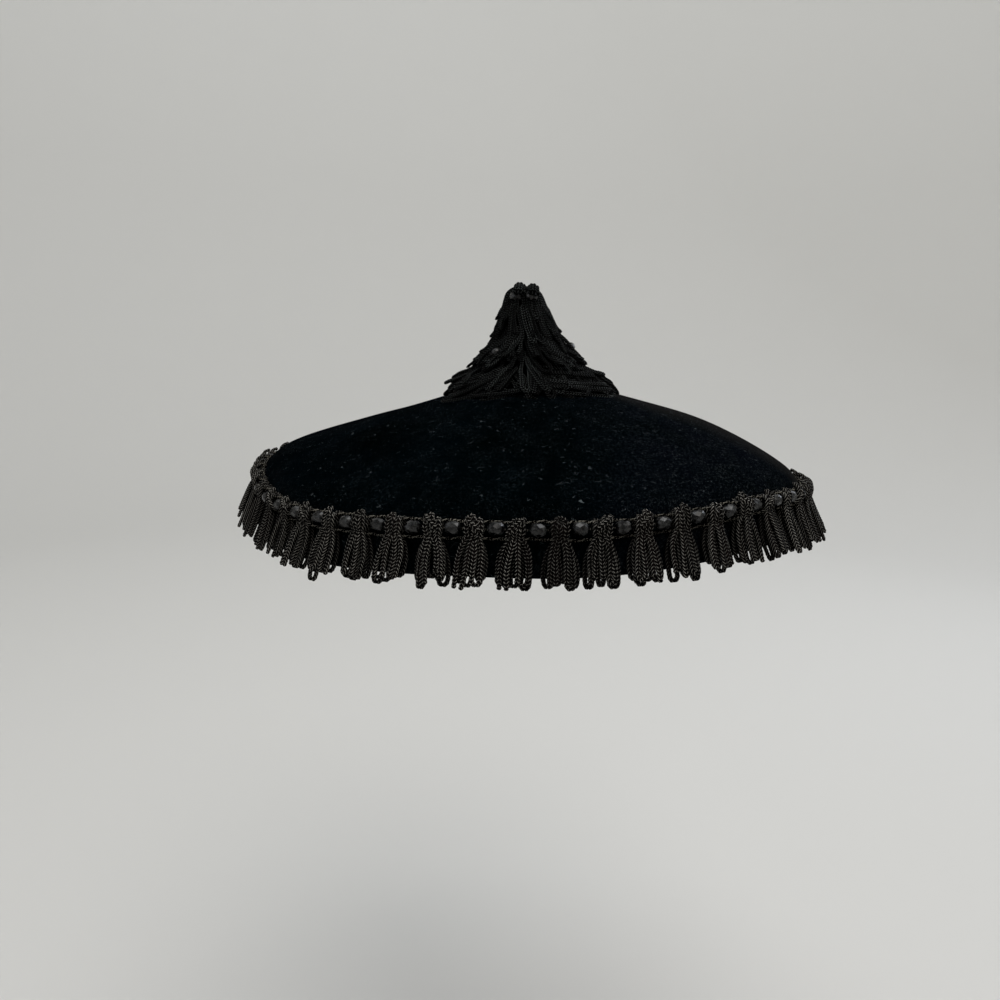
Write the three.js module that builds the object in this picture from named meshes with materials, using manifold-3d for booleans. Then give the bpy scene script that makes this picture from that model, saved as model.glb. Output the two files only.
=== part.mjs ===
// A small round cocktail hat: a shallow velvet saucer, edged with a beaded tassel fringe and topped
// with one large tassel rolled from the same fringe.
//
// Millimetres, +Z up. The front of the hat faces -Y and its right side is +X. The origin is inside
// the crown's top, where the head meets it. A "turn" is an angle round the hat, 0 at the front and
// growing towards the right side. A "drop" is a distance down the edge band from the bead line, and
// an "off" is a distance out from the velvet.

import * as THREE from 'three';
import { mergeVertices } from 'three/addons/utils/BufferGeometryUtils.js';
import Module from 'manifold-3d';

const wasm = await Module();
wasm.setup();

const { degToRad } = THREE.MathUtils;
const FULL_TURN = 2 * Math.PI;

// ---------------------------------------------------------------------------------------------
// Driving dimensions

const GAP = 0.3; // clearance between pieces that touch
const WELD_DISTANCE = 1e-4; // corners closer than this are one corner

// Velvet body
const WALL = 2.5; // velvet over its stiff base
const RIM_RADIUS = 112.5; // the velvet at the bead line
const CROWN_RISE = 40.5; // from the bead line up to the outside of the crown's top
const BAND_SLOPE = degToRad(17); // the edge band leans out by this much from upright
const BAND_TOP = -4; // drop at which the band starts, above the bead line
const BAND_SHOULDER = 1; // drop by which it has turned to its full slope
const BAND_DEPTH = 13.4; // drop at the velvet's lower edge
const CROWN_LEAN = 3; // the right flank stands this much fuller than the left, half each
const LEAN_POWER = 1.5; // where the lean peaks between the top and the edge
const RIM_TWIST = 4.4; // the edge rises and falls twice a turn by this much
const RIM_WAVE = 0.8; // and ripples by this much
const RIM_WAVES = 6; // so many times a turn
const RIM_FOLLOW_POWER = 3; // how fast the twist dies away up the crown
const CROWN_SIDES = 60;
const CROWN_STEPS = 10; // straight steps from the crown's top to the band

// Edge fringe
const TASSELS = 56;
const TASSELS_PER_LENGTH = 4;
const FIRST_TASSEL_TURN = degToRad(-1.33);
const CORD_DROP = 2.5; // the two heading cords run this far above and below the bead line
const CORD_THICKNESS = 0.8;
const SIDE_DEPTH = 0.35; // a tassel's upright sides, and its cords, as a share of its half depth

// Beads, flattened balls of cut jet glass with their holes along the thread
const BEAD_HALF_LENGTH = 2.35;
const BEAD_HALF_HEIGHT = 1.95;
const BEAD_HALF_DEPTH = 2.1;
const BEAD_SIDES = 6;
const BEAD_OFF = BEAD_HALF_DEPTH + 0.4;
const LOOSE_BEAD_SIDES = 8;
const LOOSE_BEAD_STEPS = 5;
const THREAD_RADIUS = 0.3;
const THREAD_OFF = 0.75; // the thread passes behind the tassel heads

// Top tassel
const TASSEL_TILT = -0.12; // sideways lean of the top tassel, per unit of height over the crown
const TASSEL_OFFSET = -1.3; // how far aside of the hat's axis it starts
const LOWER_SKIRT_DEPTH = 0.88; // its lowest skirt is this much shallower front to back

// Heights over the bead line become heights over the origin by this much
const RIM_HEIGHT = WALL - CROWN_RISE;

const TASSEL_PITCH = FULL_TURN / TASSELS;
const LENGTHS = TASSELS / TASSELS_PER_LENGTH;
const BAND_TOP_RADIUS = RIM_RADIUS + BAND_TOP * Math.sin(BAND_SLOPE);

// The crown's outside, from its top out to the shoulder: radius, and height over the bead line
const CROWN_ROWS = [
  { radius: 0, height: CROWN_RISE },
  { radius: 15, height: 38.5 },
  { radius: 30, height: 34.6 },
  { radius: 50, height: 28.9 },
  { radius: 70, height: 23.2 },
  { radius: 85, height: 17.9 },
  { radius: 98, height: 12.5 },
  { radius: 107, height: 7.8 },
];

// One edge tassel from the top of its looped head to its ends. A heading cord runs between each row
// marked "cord" and the next. The back is hollowed over the bead thread between the two cords.
const TASSEL_ROWS = [
  { drop: -3.6, halfWidth: 1.1, back: 0.8, front: 2.4 },
  { drop: -CORD_DROP - CORD_THICKNESS / 2, halfWidth: 2.1, back: 0.4, front: 3.5, cord: true },
  { drop: -CORD_DROP + CORD_THICKNESS / 2, halfWidth: 2.7, back: 0.5, front: 4.1 },
  { drop: -1.1, halfWidth: 2.9, back: 1.45, front: 4.6 },
  { drop: 1.1, halfWidth: 2.9, back: 1.45, front: 4.6 },
  { drop: CORD_DROP - CORD_THICKNESS / 2, halfWidth: 2.7, back: 0.5, front: 4.3, cord: true },
  { drop: CORD_DROP + CORD_THICKNESS / 2, halfWidth: 2.9, back: 0.4, front: 4.1 },
  { drop: 9, halfWidth: 4.4, back: 0.4, front: 4.3 },
  { drop: 17, halfWidth: 5.3, back: 0.8, front: 4.8 },
  { drop: 18.4, halfWidth: 4.7, back: 1.4, front: 4.1 },
];

// A tassel's cross-section, as shares of its half width and half depth. Its two upright sides are
// where the heading cords leave it.
const TASSEL_CORNERS = [
  { wide: 1, deep: -SIDE_DEPTH },
  { wide: 1, deep: SIDE_DEPTH },
  { wide: 0, deep: 1 },
  { wide: -1, deep: SIDE_DEPTH },
  { wide: -1, deep: -SIDE_DEPTH },
  { wide: 0, deep: -1 },
];
const RIGHT_SIDE = 0; // the corner that each upright side starts from
const LEFT_SIDE = 3;

// The top tassel's three skirts, each a bell over the one below it. Rows run down the outside;
// "lift" is the height over the bead line.
const LOWER_SKIRT_ROWS = [
  { radius: 8, lift: 58 },
  { radius: 14, lift: 52.5 },
  { radius: 21, lift: 46 },
  { radius: 28.5, lift: 42 },
  { radius: 34.5, lift: 37.6 },
  { radius: 36.8, lift: 34.8 },
];
const MIDDLE_SKIRT_ROWS = [
  { radius: 5.5, lift: 66 },
  { radius: 11, lift: 62 },
  { radius: 14.5, lift: 57.5 },
  { radius: 19, lift: 51.6 },
  { radius: 24.8, lift: 47 },
];
const UPPER_SKIRT_ROWS = [
  { radius: 6, lift: 71.1 },
  { radius: 9.8, lift: 70.1 },
  { radius: 11.8, lift: 66.5 },
  { radius: 13.4, lift: 62 },
  { radius: 15.4, lift: 57.8 },
];
const SKIRT_SIDES = 32;
const SKIRT_LOBES = 16; // bunches of looped cord round a skirt
const LOBE_DEPTH = 0.06; // how deep the bunches are cut, as a share of the radius
const SEAT_RADII = [34, 25, 14, 3]; // rings of the lowest skirt's underside, on the crown
const SEAT_GAP = 0.45; // clearance between the two
const ROOF_RADIUS = 0.5; // the closed top inside a bell-shaped skirt
const HEM_DEPTH = 0.5; // least height of a bell-shaped skirt's inside over its hem

// The knot at the tip, from its seat up to under its two loops
const TIP_KNOT_ROWS = [
  { radius: 7.4, lift: UPPER_SKIRT_ROWS[0].lift + GAP },
  { radius: 8.3, lift: 73.5 },
  { radius: 7.2, lift: 76 },
  { radius: 4, lift: 77.8 },
];
const TIP_KNOT_SIDES = 16;
const TIP_LOOP = { height: 77.8, apart: 2.4, halfWidth: 2.9, halfDepth: 3.6, halfHeight: 2.4 };
const TIP_LOOP_SIDES = 10;
const TIP_LOOP_STEPS = 6;

// Beads of the top tassel: two pairs that nestle in the tip knot, and those that nestle in the
// middle skirt. "ring" is the distance from the tassel's axis.
const TIP_BEAD_ROWS = [
  { turn: degToRad(-24), ring: 7.8, lift: 73.6 },
  { turn: degToRad(24), ring: 7.8, lift: 73.6 },
  { turn: degToRad(156), ring: 7.8, lift: 73.6 },
  { turn: degToRad(204), ring: 7.8, lift: 73.6 },
];
const SKIRT_BEAD_ROWS = [
  { turn: degToRad(-43), ring: 19.5, lift: 51 },
  { turn: degToRad(83), ring: 18.3, lift: 53 },
  { turn: degToRad(-160), ring: 19.5, lift: 51 },
];

// ---------------------------------------------------------------------------------------------
// Materials

const velvet = new THREE.MeshStandardMaterial({ color: 0x0b0c11, roughness: 0.95, metalness: 0 });
const rayonCord = new THREE.MeshStandardMaterial({ color: 0x1e1b1b, roughness: 0.7, metalness: 0 });
const jetGlass = new THREE.MeshStandardMaterial({ color: 0x08080a, roughness: 0.12, metalness: 0 });

// ---------------------------------------------------------------------------------------------
// The hat's gentle warp

/** Height that the edge gains at a turn. */
function rimLift(turn) {
  return RIM_TWIST * Math.sin(2 * turn) - RIM_WAVE * Math.sin(RIM_WAVES * turn);
}

/** Height that a point of the crown gains from the lean of the crown and the twist of the edge. */
function warpAt(x, y) {
  const reach = Math.min(1, Math.hypot(x, y) / BAND_TOP_RADIUS);
  const turn = Math.atan2(x, -y);
  const lean = CROWN_LEAN * Math.sin(Math.PI * reach ** LEAN_POWER) * Math.sin(turn);
  return lean + reach ** RIM_FOLLOW_POWER * rimLift(turn);
}

/** Lifts every vertex of a geometry by the crown's warp. */
function warp(geometry) {
  const position = geometry.attributes.position;
  for (let i = 0; i < position.count; i += 1) {
    const lifted = position.getZ(i) + warpAt(position.getX(i), position.getY(i));
    position.setZ(i, lifted);
  }
  return geometry;
}

/** A point on the edge band, from its turn, drop, off and sideways distance. */
function onBand(turn, drop, off, across = 0) {
  const radius = RIM_RADIUS + drop * Math.sin(BAND_SLOPE) + off * Math.cos(BAND_SLOPE);
  const fall = drop * Math.cos(BAND_SLOPE) - off * Math.sin(BAND_SLOPE);
  const aside = turn + across / RIM_RADIUS;
  return new THREE.Vector3(
    radius * Math.sin(turn) + across * Math.cos(turn),
    -radius * Math.cos(turn) + across * Math.sin(turn),
    RIM_HEIGHT + rimLift(aside) - fall,
  );
}

// ---------------------------------------------------------------------------------------------
// Geometry helpers

/** A closed solid through rings of points that all have the same number of points. */
function loft(rings) {
  const sides = rings[0].length;
  const points = rings.flat();
  const triangles = [];
  for (let row = 0; row + 1 < rings.length; row += 1) {
    for (let side = 0; side < sides; side += 1) {
      const a = row * sides + side;
      const b = row * sides + ((side + 1) % sides);
      triangles.push(a, b, b + sides);
      triangles.push(a, b + sides, a + sides);
    }
  }
  const last = (rings.length - 1) * sides;
  for (let side = 1; side + 1 < sides; side += 1) {
    triangles.push(0, side + 1, side);
    triangles.push(last, last + side, last + side + 1);
  }
  const geometry = new THREE.BufferGeometry().setFromPoints(points);
  geometry.setIndex(triangles);
  geometry.computeVertexNormals();
  return geometry;
}

/** A manifold-3d solid of a closed geometry. */
function toManifold(geometry) {
  const bare = geometry.clone();
  bare.deleteAttribute('normal');
  bare.deleteAttribute('uv');
  const merged = mergeVertices(bare, WELD_DISTANCE);
  return new wasm.Manifold(new wasm.Mesh({
    numProp: 3,
    vertProperties: merged.attributes.position.array,
    triVerts: new Uint32Array(merged.index.array),
  }));
}

/** The geometry of a manifold-3d solid. */
function fromManifold(solid) {
  const mesh = solid.getMesh();
  const geometry = new THREE.BufferGeometry();
  geometry.setAttribute('position', new THREE.BufferAttribute(mesh.vertProperties, 3));
  geometry.setIndex(new THREE.BufferAttribute(mesh.triVerts, 1));
  geometry.computeVertexNormals();
  return geometry;
}

/** One geometry of several closed geometries joined where they overlap. */
function join(geometries) {
  return fromManifold(geometries.map(toManifold).reduce((whole, next) => whole.add(next)));
}

/** A geometry with others cut out of it. */
function cut(geometry, tools) {
  const solids = [geometry, ...tools].map(toManifold);
  return fromManifold(solids.reduce((whole, tool) => whole.subtract(tool)));
}

/** A named mesh. */
function piece(name, geometry, material) {
  const mesh = new THREE.Mesh(geometry, material);
  mesh.name = name;
  return mesh;
}

/** A stem and a two-figure number as a name. */
function numbered(stem, index) {
  return `${stem}_${String(index + 1).padStart(2, '0')}`;
}

// ---------------------------------------------------------------------------------------------
// Velvet body

/** The outside of the velvet from its top down to its lower edge, as radius and height. */
function crownOutline() {
  const shoulder = CROWN_ROWS.map((row) => new THREE.Vector2(row.radius, row.height));
  const bandTop = new THREE.Vector2(BAND_TOP_RADIUS, -BAND_TOP * Math.cos(BAND_SLOPE));
  const curve = new THREE.SplineCurve([...shoulder, bandTop]);
  const outline = curve.getPoints(CROWN_STEPS);
  outline[0].x = 0;
  for (const drop of [BAND_SHOULDER, BAND_DEPTH / 2, BAND_DEPTH]) {
    const radius = RIM_RADIUS + drop * Math.sin(BAND_SLOPE);
    outline.push(new THREE.Vector2(radius, -drop * Math.cos(BAND_SLOPE)));
  }
  return outline;
}

/** The outline moved inwards along its normals by a distance. */
function inset(outline, distance) {
  return outline.map((point, i) => {
    if (i === 0) {
      return new THREE.Vector2(0, point.y - distance);
    }
    const before = outline[i - 1];
    const after = outline[Math.min(i + 1, outline.length - 1)];
    const along = after.clone().sub(before).normalize();
    return new THREE.Vector2(point.x + along.y * distance, point.y - along.x * distance);
  });
}

/** The velvet body: a hollow shell with a rounded lower edge. */
function buildCrown() {
  const outside = crownOutline();
  const inside = inset(outside, WALL);
  const lowest = outside.at(-1).clone().add(inside.at(-1)).multiplyScalar(0.5);
  lowest.y -= WALL / 2;
  const profile = [...outside, lowest, ...inside.reverse()].reverse();
  const geometry = new THREE.LatheGeometry(profile, CROWN_SIDES);
  geometry.rotateX(Math.PI / 2);
  geometry.translate(0, 0, RIM_HEIGHT);
  return piece('crown_shell', warp(geometry), velvet);
}

// ---------------------------------------------------------------------------------------------
// Edge fringe

/** Turn of a tassel's middle. The bead after it is half a pitch further on. */
function tasselTurn(index) {
  return FIRST_TASSEL_TURN + index * TASSEL_PITCH;
}

/** The corners of one row of a tassel. */
function tasselRing(turn, { drop, halfWidth, back, front }) {
  const middle = (back + front) / 2;
  const halfDepth = (front - back) / 2;
  return TASSEL_CORNERS.map(({ wide, deep }) => {
    const off = middle + deep * halfDepth;
    return onBand(turn, drop, off, wide * halfWidth);
  });
}

/** Two triangles across four corners. */
function quad(a, b, c, d) {
  return [a, b, c, a, c, d];
}

/**
 * A length of fringe as one solid: neighbouring tassels whose heads are tied to each other by the
 * two heading cords, with half a gap's length of cord left at each end.
 */
function fringeGeometry(firstTassel) {
  const sides = TASSEL_CORNERS.length;
  const rows = TASSEL_ROWS.length;
  const points = [];
  const triangles = [];
  const corner = (tassel, row, side) => (tassel * rows + row) * sides + (side % sides);
  for (let i = 0; i < TASSELS_PER_LENGTH; i += 1) {
    TASSEL_ROWS.forEach((row) => points.push(...tasselRing(tasselTurn(firstTassel + i), row)));
  }

  // Four corners of a cord where it meets a side of a tassel, in order round the cord
  const cordEnd = (tassel, row, side) => [
    corner(tassel, row, side),
    corner(tassel, row, side + 1),
    corner(tassel, row + 1, side + 1),
    corner(tassel, row + 1, side),
  ];
  const mirrored = ([a, b, c, d]) => [b, a, d, c];
  const bridge = (left, right) => {
    for (let k = 0; k < 4; k += 1) {
      const next = (k + 1) % 4;
      triangles.push(...quad(left[k], left[next], right[next], right[k]));
    }
  };

  // The loose end of a cord, half a pitch from the tassel it is tied to
  const looseEnd = (tassel, row, direction) => {
    const start = points.length;
    const { back, front } = TASSEL_ROWS[row];
    const middle = (back + front) / 2;
    const halfHeight = CORD_THICKNESS / 2;
    const drop = TASSEL_ROWS[row].drop + halfHeight;
    const reach = direction * ((TASSEL_PITCH * RIM_RADIUS) / 2 - GAP / 2);
    const turn = tasselTurn(firstTassel + tassel) + reach / RIM_RADIUS;
    const halfDepth = SIDE_DEPTH * (front - middle);
    points.push(
      onBand(turn, drop - halfHeight, middle - halfDepth),
      onBand(turn, drop - halfHeight, middle + halfDepth),
      onBand(turn, drop + halfHeight, middle + halfDepth),
      onBand(turn, drop + halfHeight, middle - halfDepth),
    );
    return [start, start + 1, start + 2, start + 3];
  };

  for (let i = 0; i < TASSELS_PER_LENGTH; i += 1) {
    for (let row = 0; row + 1 < rows; row += 1) {
      for (let side = 0; side < sides; side += 1) {
        const tied = TASSEL_ROWS[row].cord && (side === RIGHT_SIDE || side === LEFT_SIDE);
        if (!tied) {
          triangles.push(...quad(
            corner(i, row, side),
            corner(i, row, side + 1),
            corner(i, row + 1, side + 1),
            corner(i, row + 1, side),
          ));
        }
      }
      if (TASSEL_ROWS[row].cord) {
        const leftSide = mirrored(cordEnd(i, row, LEFT_SIDE));
        const rightSide = cordEnd(i, row, RIGHT_SIDE);
        if (i === 0) {
          const end = looseEnd(i, row, -1);
          triangles.push(...quad(...end).reverse());
          bridge(end, leftSide);
        }
        if (i + 1 < TASSELS_PER_LENGTH) {
          bridge(rightSide, mirrored(cordEnd(i + 1, row, LEFT_SIDE)));
        } else {
          const end = looseEnd(i, row, 1);
          triangles.push(...quad(...end));
          bridge(rightSide, end);
        }
      }
    }
    for (let side = 1; side + 1 < sides; side += 1) {
      triangles.push(corner(i, 0, 0), corner(i, 0, side + 1), corner(i, 0, side));
      triangles.push(corner(i, rows - 1, 0), corner(i, rows - 1, side), corner(i, rows - 1, side + 1));
    }
  }
  const geometry = new THREE.BufferGeometry().setFromPoints(points);
  geometry.setIndex(triangles);
  geometry.computeVertexNormals();
  return geometry;
}

/** One length of the edge fringe. */
function buildFringeLength(length) {
  return piece(numbered('fringe', length), fringeGeometry(length * TASSELS_PER_LENGTH), rayonCord);
}

// ---------------------------------------------------------------------------------------------
// Beads

// A bead's cross-sections along its hole: where, and the share of its full height and depth there
const BEAD_ROWS = [
  { along: -1, share: 0.5 },
  { along: 0, share: 1 },
  { along: 1, share: 0.5 },
];

/** One ring of points round the bead thread. */
function threadRing(turn, across, off, halfHeight, halfDepth) {
  const ring = [];
  for (let side = 0; side < BEAD_SIDES; side += 1) {
    const angle = (side / BEAD_SIDES) * FULL_TURN;
    const drop = halfHeight * Math.sin(angle);
    ring.push(onBand(turn + across / RIM_RADIUS, drop, off + halfDepth * Math.cos(angle)));
  }
  return ring;
}

/** A string of beads joined along their thread, with half a pitch of thread at each end. */
function buildBeadString(length) {
  const rings = [];
  const halfPitch = (TASSEL_PITCH * RIM_RADIUS) / 2;
  const threadAt = (turn, across) => threadRing(turn, across, THREAD_OFF, THREAD_RADIUS, THREAD_RADIUS);
  const first = length * TASSELS_PER_LENGTH;
  for (let i = 0; i < TASSELS_PER_LENGTH; i += 1) {
    const turn = tasselTurn(first + i + 0.5);
    if (i === 0) {
      rings.push(threadAt(turn, GAP / 2 - halfPitch));
    }
    rings.push(threadAt(turn, -BEAD_HALF_LENGTH - GAP));
    for (const { along, share } of BEAD_ROWS) {
      const across = along * BEAD_HALF_LENGTH;
      rings.push(threadRing(turn, across, BEAD_OFF, share * BEAD_HALF_HEIGHT, share * BEAD_HALF_DEPTH));
    }
    rings.push(threadAt(turn, BEAD_HALF_LENGTH + GAP));
    if (i === TASSELS_PER_LENGTH - 1) {
      rings.push(threadAt(turn, halfPitch - GAP / 2));
    }
  }
  return piece(numbered('bead_string', length), loft(rings), jetGlass);
}

/** A single bead on the top tassel with its hole level, grown all over by a margin. */
function looseBeadGeometry({ turn, ring, lift }, margin = 0) {
  const geometry = new THREE.SphereGeometry(1, LOOSE_BEAD_SIDES, LOOSE_BEAD_STEPS);
  geometry.rotateZ(Math.PI / 2);
  geometry.scale(BEAD_HALF_LENGTH + margin, BEAD_HALF_DEPTH + margin, BEAD_HALF_HEIGHT + margin);
  geometry.rotateZ(turn);
  const { x, y, z } = onTassel(turn, ring, lift);
  return geometry.translate(x, y, z);
}

// ---------------------------------------------------------------------------------------------
// Top tassel

/** A point of the top tassel, from its turn, distance from the tassel's axis and lift. */
function onTassel(turn, radius, lift, depthShare = 1) {
  const centre = TASSEL_OFFSET + TASSEL_TILT * (lift - CROWN_RISE);
  const x = centre + radius * Math.sin(turn);
  const y = -radius * Math.cos(turn) * depthShare;
  return new THREE.Vector3(x, y, lift + RIM_HEIGHT + warpAt(x, y));
}

/** Height of the crown's outside over the bead line at a radius, before its warp. */
function crownHeight(radius) {
  const outline = crownOutline();
  const after = outline.findIndex((point) => point.x >= radius && point.x > 0);
  const inner = outline[after - 1];
  const outer = outline[after];
  const share = (radius - inner.x) / (outer.x - inner.x);
  return inner.y + (outer.y - inner.y) * share;
}

/** A ring of a skirt, scalloped into bunches of this depth. */
function skirtRing(radius, lift, scallopDepth, depthShare) {
  const ring = [];
  for (let side = 0; side < SKIRT_SIDES; side += 1) {
    const turn = (side / SKIRT_SIDES) * FULL_TURN;
    const scallop = 1 + scallopDepth * Math.cos(SKIRT_LOBES * turn);
    ring.push(onTassel(turn, radius * scallop, lift, depthShare));
  }
  return ring;
}

/** The rings down the outside of a skirt. */
function skirtOutside(outsideRows, depthShare = 1) {
  const rings = [];
  outsideRows.forEach(({ radius, lift }, i) => {
    const share = i / (outsideRows.length - 1);
    rings.push(skirtRing(radius, lift, LOBE_DEPTH * share, 1 + (depthShare - 1) * share));
  });
  return rings;
}

/** A skirt as a bell over another one: down its outside, then back up just clear of the one below. */
function bellOver(rowsBelow, outsideRows) {
  const clear = 1 + LOBE_DEPTH;
  const hem = outsideRows.at(-1);
  const inside = rowsBelow
    .filter((row) => row.lift > hem.lift + HEM_DEPTH)
    .map((row) => skirtRing(row.radius * clear + GAP, row.lift + GAP, 0, 1))
    .reverse();
  const roof = skirtRing(ROOF_RADIUS, rowsBelow[0].lift + 2 * GAP, 0, 1);
  return loft([...skirtOutside(outsideRows), ...inside, roof].reverse());
}

/** A ring of the lowest skirt's underside, which lies on the crown. */
function crownSeatRing(radius) {
  return skirtRing(radius, crownHeight(radius), 0, LOWER_SKIRT_DEPTH).map(({ x, y }) => {
    const seat = crownHeight(Math.hypot(x, y)) + warpAt(x, y) + RIM_HEIGHT;
    return new THREE.Vector3(x, y, seat + SEAT_GAP);
  });
}

/** The lowest skirt, which fans out on the crown. */
function buildLowerSkirt() {
  const underside = SEAT_RADII.map(crownSeatRing);
  const outside = skirtOutside(LOWER_SKIRT_ROWS, LOWER_SKIRT_DEPTH);
  return piece('top_skirt_lower', loft([...outside, ...underside].reverse()), rayonCord);
}

/** The middle skirt, with a pocket for each bead that nestles among its cords. */
function buildMiddleSkirt() {
  const bell = bellOver(LOWER_SKIRT_ROWS, MIDDLE_SKIRT_ROWS);
  const pockets = SKIRT_BEAD_ROWS.map((row) => looseBeadGeometry(row, GAP));
  return piece('top_skirt_middle', cut(bell, pockets), rayonCord);
}

/** The upper skirt, over the middle one. */
function buildUpperSkirt() {
  return piece('top_skirt_upper', bellOver(MIDDLE_SKIRT_ROWS, UPPER_SKIRT_ROWS), rayonCord);
}

/** The knot at the tip: a round head under two loops, with a pocket for each bead. */
function buildTipKnot() {
  const head = loft(TIP_KNOT_ROWS.map(({ radius, lift }) => {
    const ring = [];
    for (let side = 0; side < TIP_KNOT_SIDES; side += 1) {
      ring.push(onTassel((side / TIP_KNOT_SIDES) * FULL_TURN, radius, lift));
    }
    return ring;
  }));
  const { height, apart, halfWidth, halfDepth, halfHeight } = TIP_LOOP;
  const loops = [-apart, apart].map((aside) => {
    const loop = new THREE.SphereGeometry(1, TIP_LOOP_SIDES, TIP_LOOP_STEPS);
    loop.rotateX(Math.PI / 2);
    loop.scale(halfWidth, halfDepth, halfHeight);
    const centre = onTassel(0, 0, height);
    return loop.translate(centre.x + aside, centre.y, centre.z);
  });
  const pockets = TIP_BEAD_ROWS.map((row) => looseBeadGeometry(row, GAP));
  return piece('top_tip_knot', cut(join([head, ...loops]), pockets), rayonCord);
}

/** Loose beads, one to a row of turn, ring and lift. */
function buildLooseBeads(stem, rows) {
  return rows.map((row, i) => piece(numbered(stem, i), looseBeadGeometry(row), jetGlass));
}

// ---------------------------------------------------------------------------------------------
// Assembly

const hat = new THREE.Group();
hat.add(buildCrown());
for (let length = 0; length < LENGTHS; length += 1) {
  hat.add(buildFringeLength(length));
  hat.add(buildBeadString(length));
}
hat.add(buildLowerSkirt(), buildMiddleSkirt(), buildUpperSkirt(), buildTipKnot());
hat.add(...buildLooseBeads('top_tip_bead', TIP_BEAD_ROWS));
hat.add(...buildLooseBeads('top_skirt_bead', SKIRT_BEAD_ROWS));

export default hat;
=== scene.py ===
"""A small velvet cocktail hat with a beaded tassel fringe and one large tassel on its top.

The classes below hold their sizes in millimetres, and a mesh turns them to metres when it is made.
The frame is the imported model's: +Z up, the front of the hat towards -Y, its right side +X, and the
origin inside the top of the crown. A "turn" is an angle round the hat, 0 at the front and growing
towards the right side. A "drop" is a distance down the edge band from the bead line, an "off" is a
distance out from the velvet, and a "lift" is a height over the bead line.
"""

import logging
import math
from collections.abc import Iterator
from dataclasses import dataclass, field
from enum import Enum
from functools import cached_property

import bpy
import numpy as np
from mathutils import Matrix, Vector


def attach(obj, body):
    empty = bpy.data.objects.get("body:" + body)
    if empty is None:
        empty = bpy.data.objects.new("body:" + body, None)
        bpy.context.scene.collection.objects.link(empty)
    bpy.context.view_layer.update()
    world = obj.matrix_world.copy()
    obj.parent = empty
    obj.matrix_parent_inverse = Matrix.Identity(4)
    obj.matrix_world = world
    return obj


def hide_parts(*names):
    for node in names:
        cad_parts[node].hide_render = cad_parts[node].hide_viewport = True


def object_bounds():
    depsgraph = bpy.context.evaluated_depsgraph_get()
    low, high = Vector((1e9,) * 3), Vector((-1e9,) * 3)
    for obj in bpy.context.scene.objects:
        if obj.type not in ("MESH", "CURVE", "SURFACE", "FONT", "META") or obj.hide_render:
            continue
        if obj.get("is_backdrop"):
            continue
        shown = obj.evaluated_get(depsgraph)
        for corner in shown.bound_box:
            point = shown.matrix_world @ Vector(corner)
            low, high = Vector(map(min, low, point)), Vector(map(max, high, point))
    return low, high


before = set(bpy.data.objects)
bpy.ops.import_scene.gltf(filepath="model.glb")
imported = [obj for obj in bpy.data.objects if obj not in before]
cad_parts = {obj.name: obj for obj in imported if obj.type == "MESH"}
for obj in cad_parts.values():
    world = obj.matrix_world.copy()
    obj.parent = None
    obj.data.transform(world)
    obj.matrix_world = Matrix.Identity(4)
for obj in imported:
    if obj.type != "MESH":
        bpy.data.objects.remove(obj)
CAD_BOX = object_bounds()

LOG = logging.getLogger("cocktail_hat")
MM = 0.001
FULL_TURN = 2 * math.pi
BODY = "root"
STITCH_MAP = "Stitches"
SHADE = "shade"
TIP_BEAD_TURNS = (-24, 24, 156, 204)  # degrees

Array = np.ndarray
Rng = np.random.Generator
Rows = tuple[tuple[float, ...], ...]
Span = tuple[float, float]
Course = tuple[Array, Array, Array]
Material = bpy.types.Material
Node = bpy.types.Node
NodeTree = bpy.types.NodeTree
Piece = bpy.types.Object
Socket = bpy.types.NodeSocket


class Slot(Enum):
    """Names of the material slots."""

    VELVET = "velvet"
    CORD = "rayon_cord"
    JET = "jet_glass"


class HeadTie(Enum):
    """How the front cords of an edge tassel bend over its head: where their four legs rise."""

    NESTED = (-1.95, -0.62, 0.62, 1.95)  # one bend inside the other
    PAIRED = (-2.5, -0.85, -0.35, 1.95)  # a low bend beside a high one


# ---- Colours and nodes ----


def linear(hex_colour: str) -> tuple[float, float, float, float]:
    """Turns an sRGB hex colour to linear red, green and blue, with an alpha of 1."""
    shares = (int(hex_colour[i : i + 2], 16) / 255 for i in (1, 3, 5))
    return (*(c / 12.92 if c <= 0.04045 else ((c + 0.055) / 1.055) ** 2.4 for c in shares), 1.0)


def fill(tree: NodeTree, node: Node, inputs: dict) -> None:
    """Sets a node's inputs, by name or number, to values or to the sockets they are linked from.

    Args:
        tree: The node tree that holds it.
        node: The node.
        inputs: The value or socket for each input.
    """
    for key, value in inputs.items():
        if isinstance(value, Socket):
            tree.links.new(value, node.inputs[key])
        else:
            node.inputs[key].default_value = value


def add_node(tree: NodeTree, kind: str, inputs: dict | None = None, **settings) -> Node:
    """Adds a node with its settings, values and links.

    Args:
        tree: The node tree that takes it.
        kind: The node's type name.
        inputs: As in fill.
        settings: The node's own properties.

    Returns:
        The new node.
    """
    made = tree.nodes.new(kind)
    for name, value in settings.items():
        setattr(made, name, value)
    fill(tree, made, inputs or {})
    return made


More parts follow.
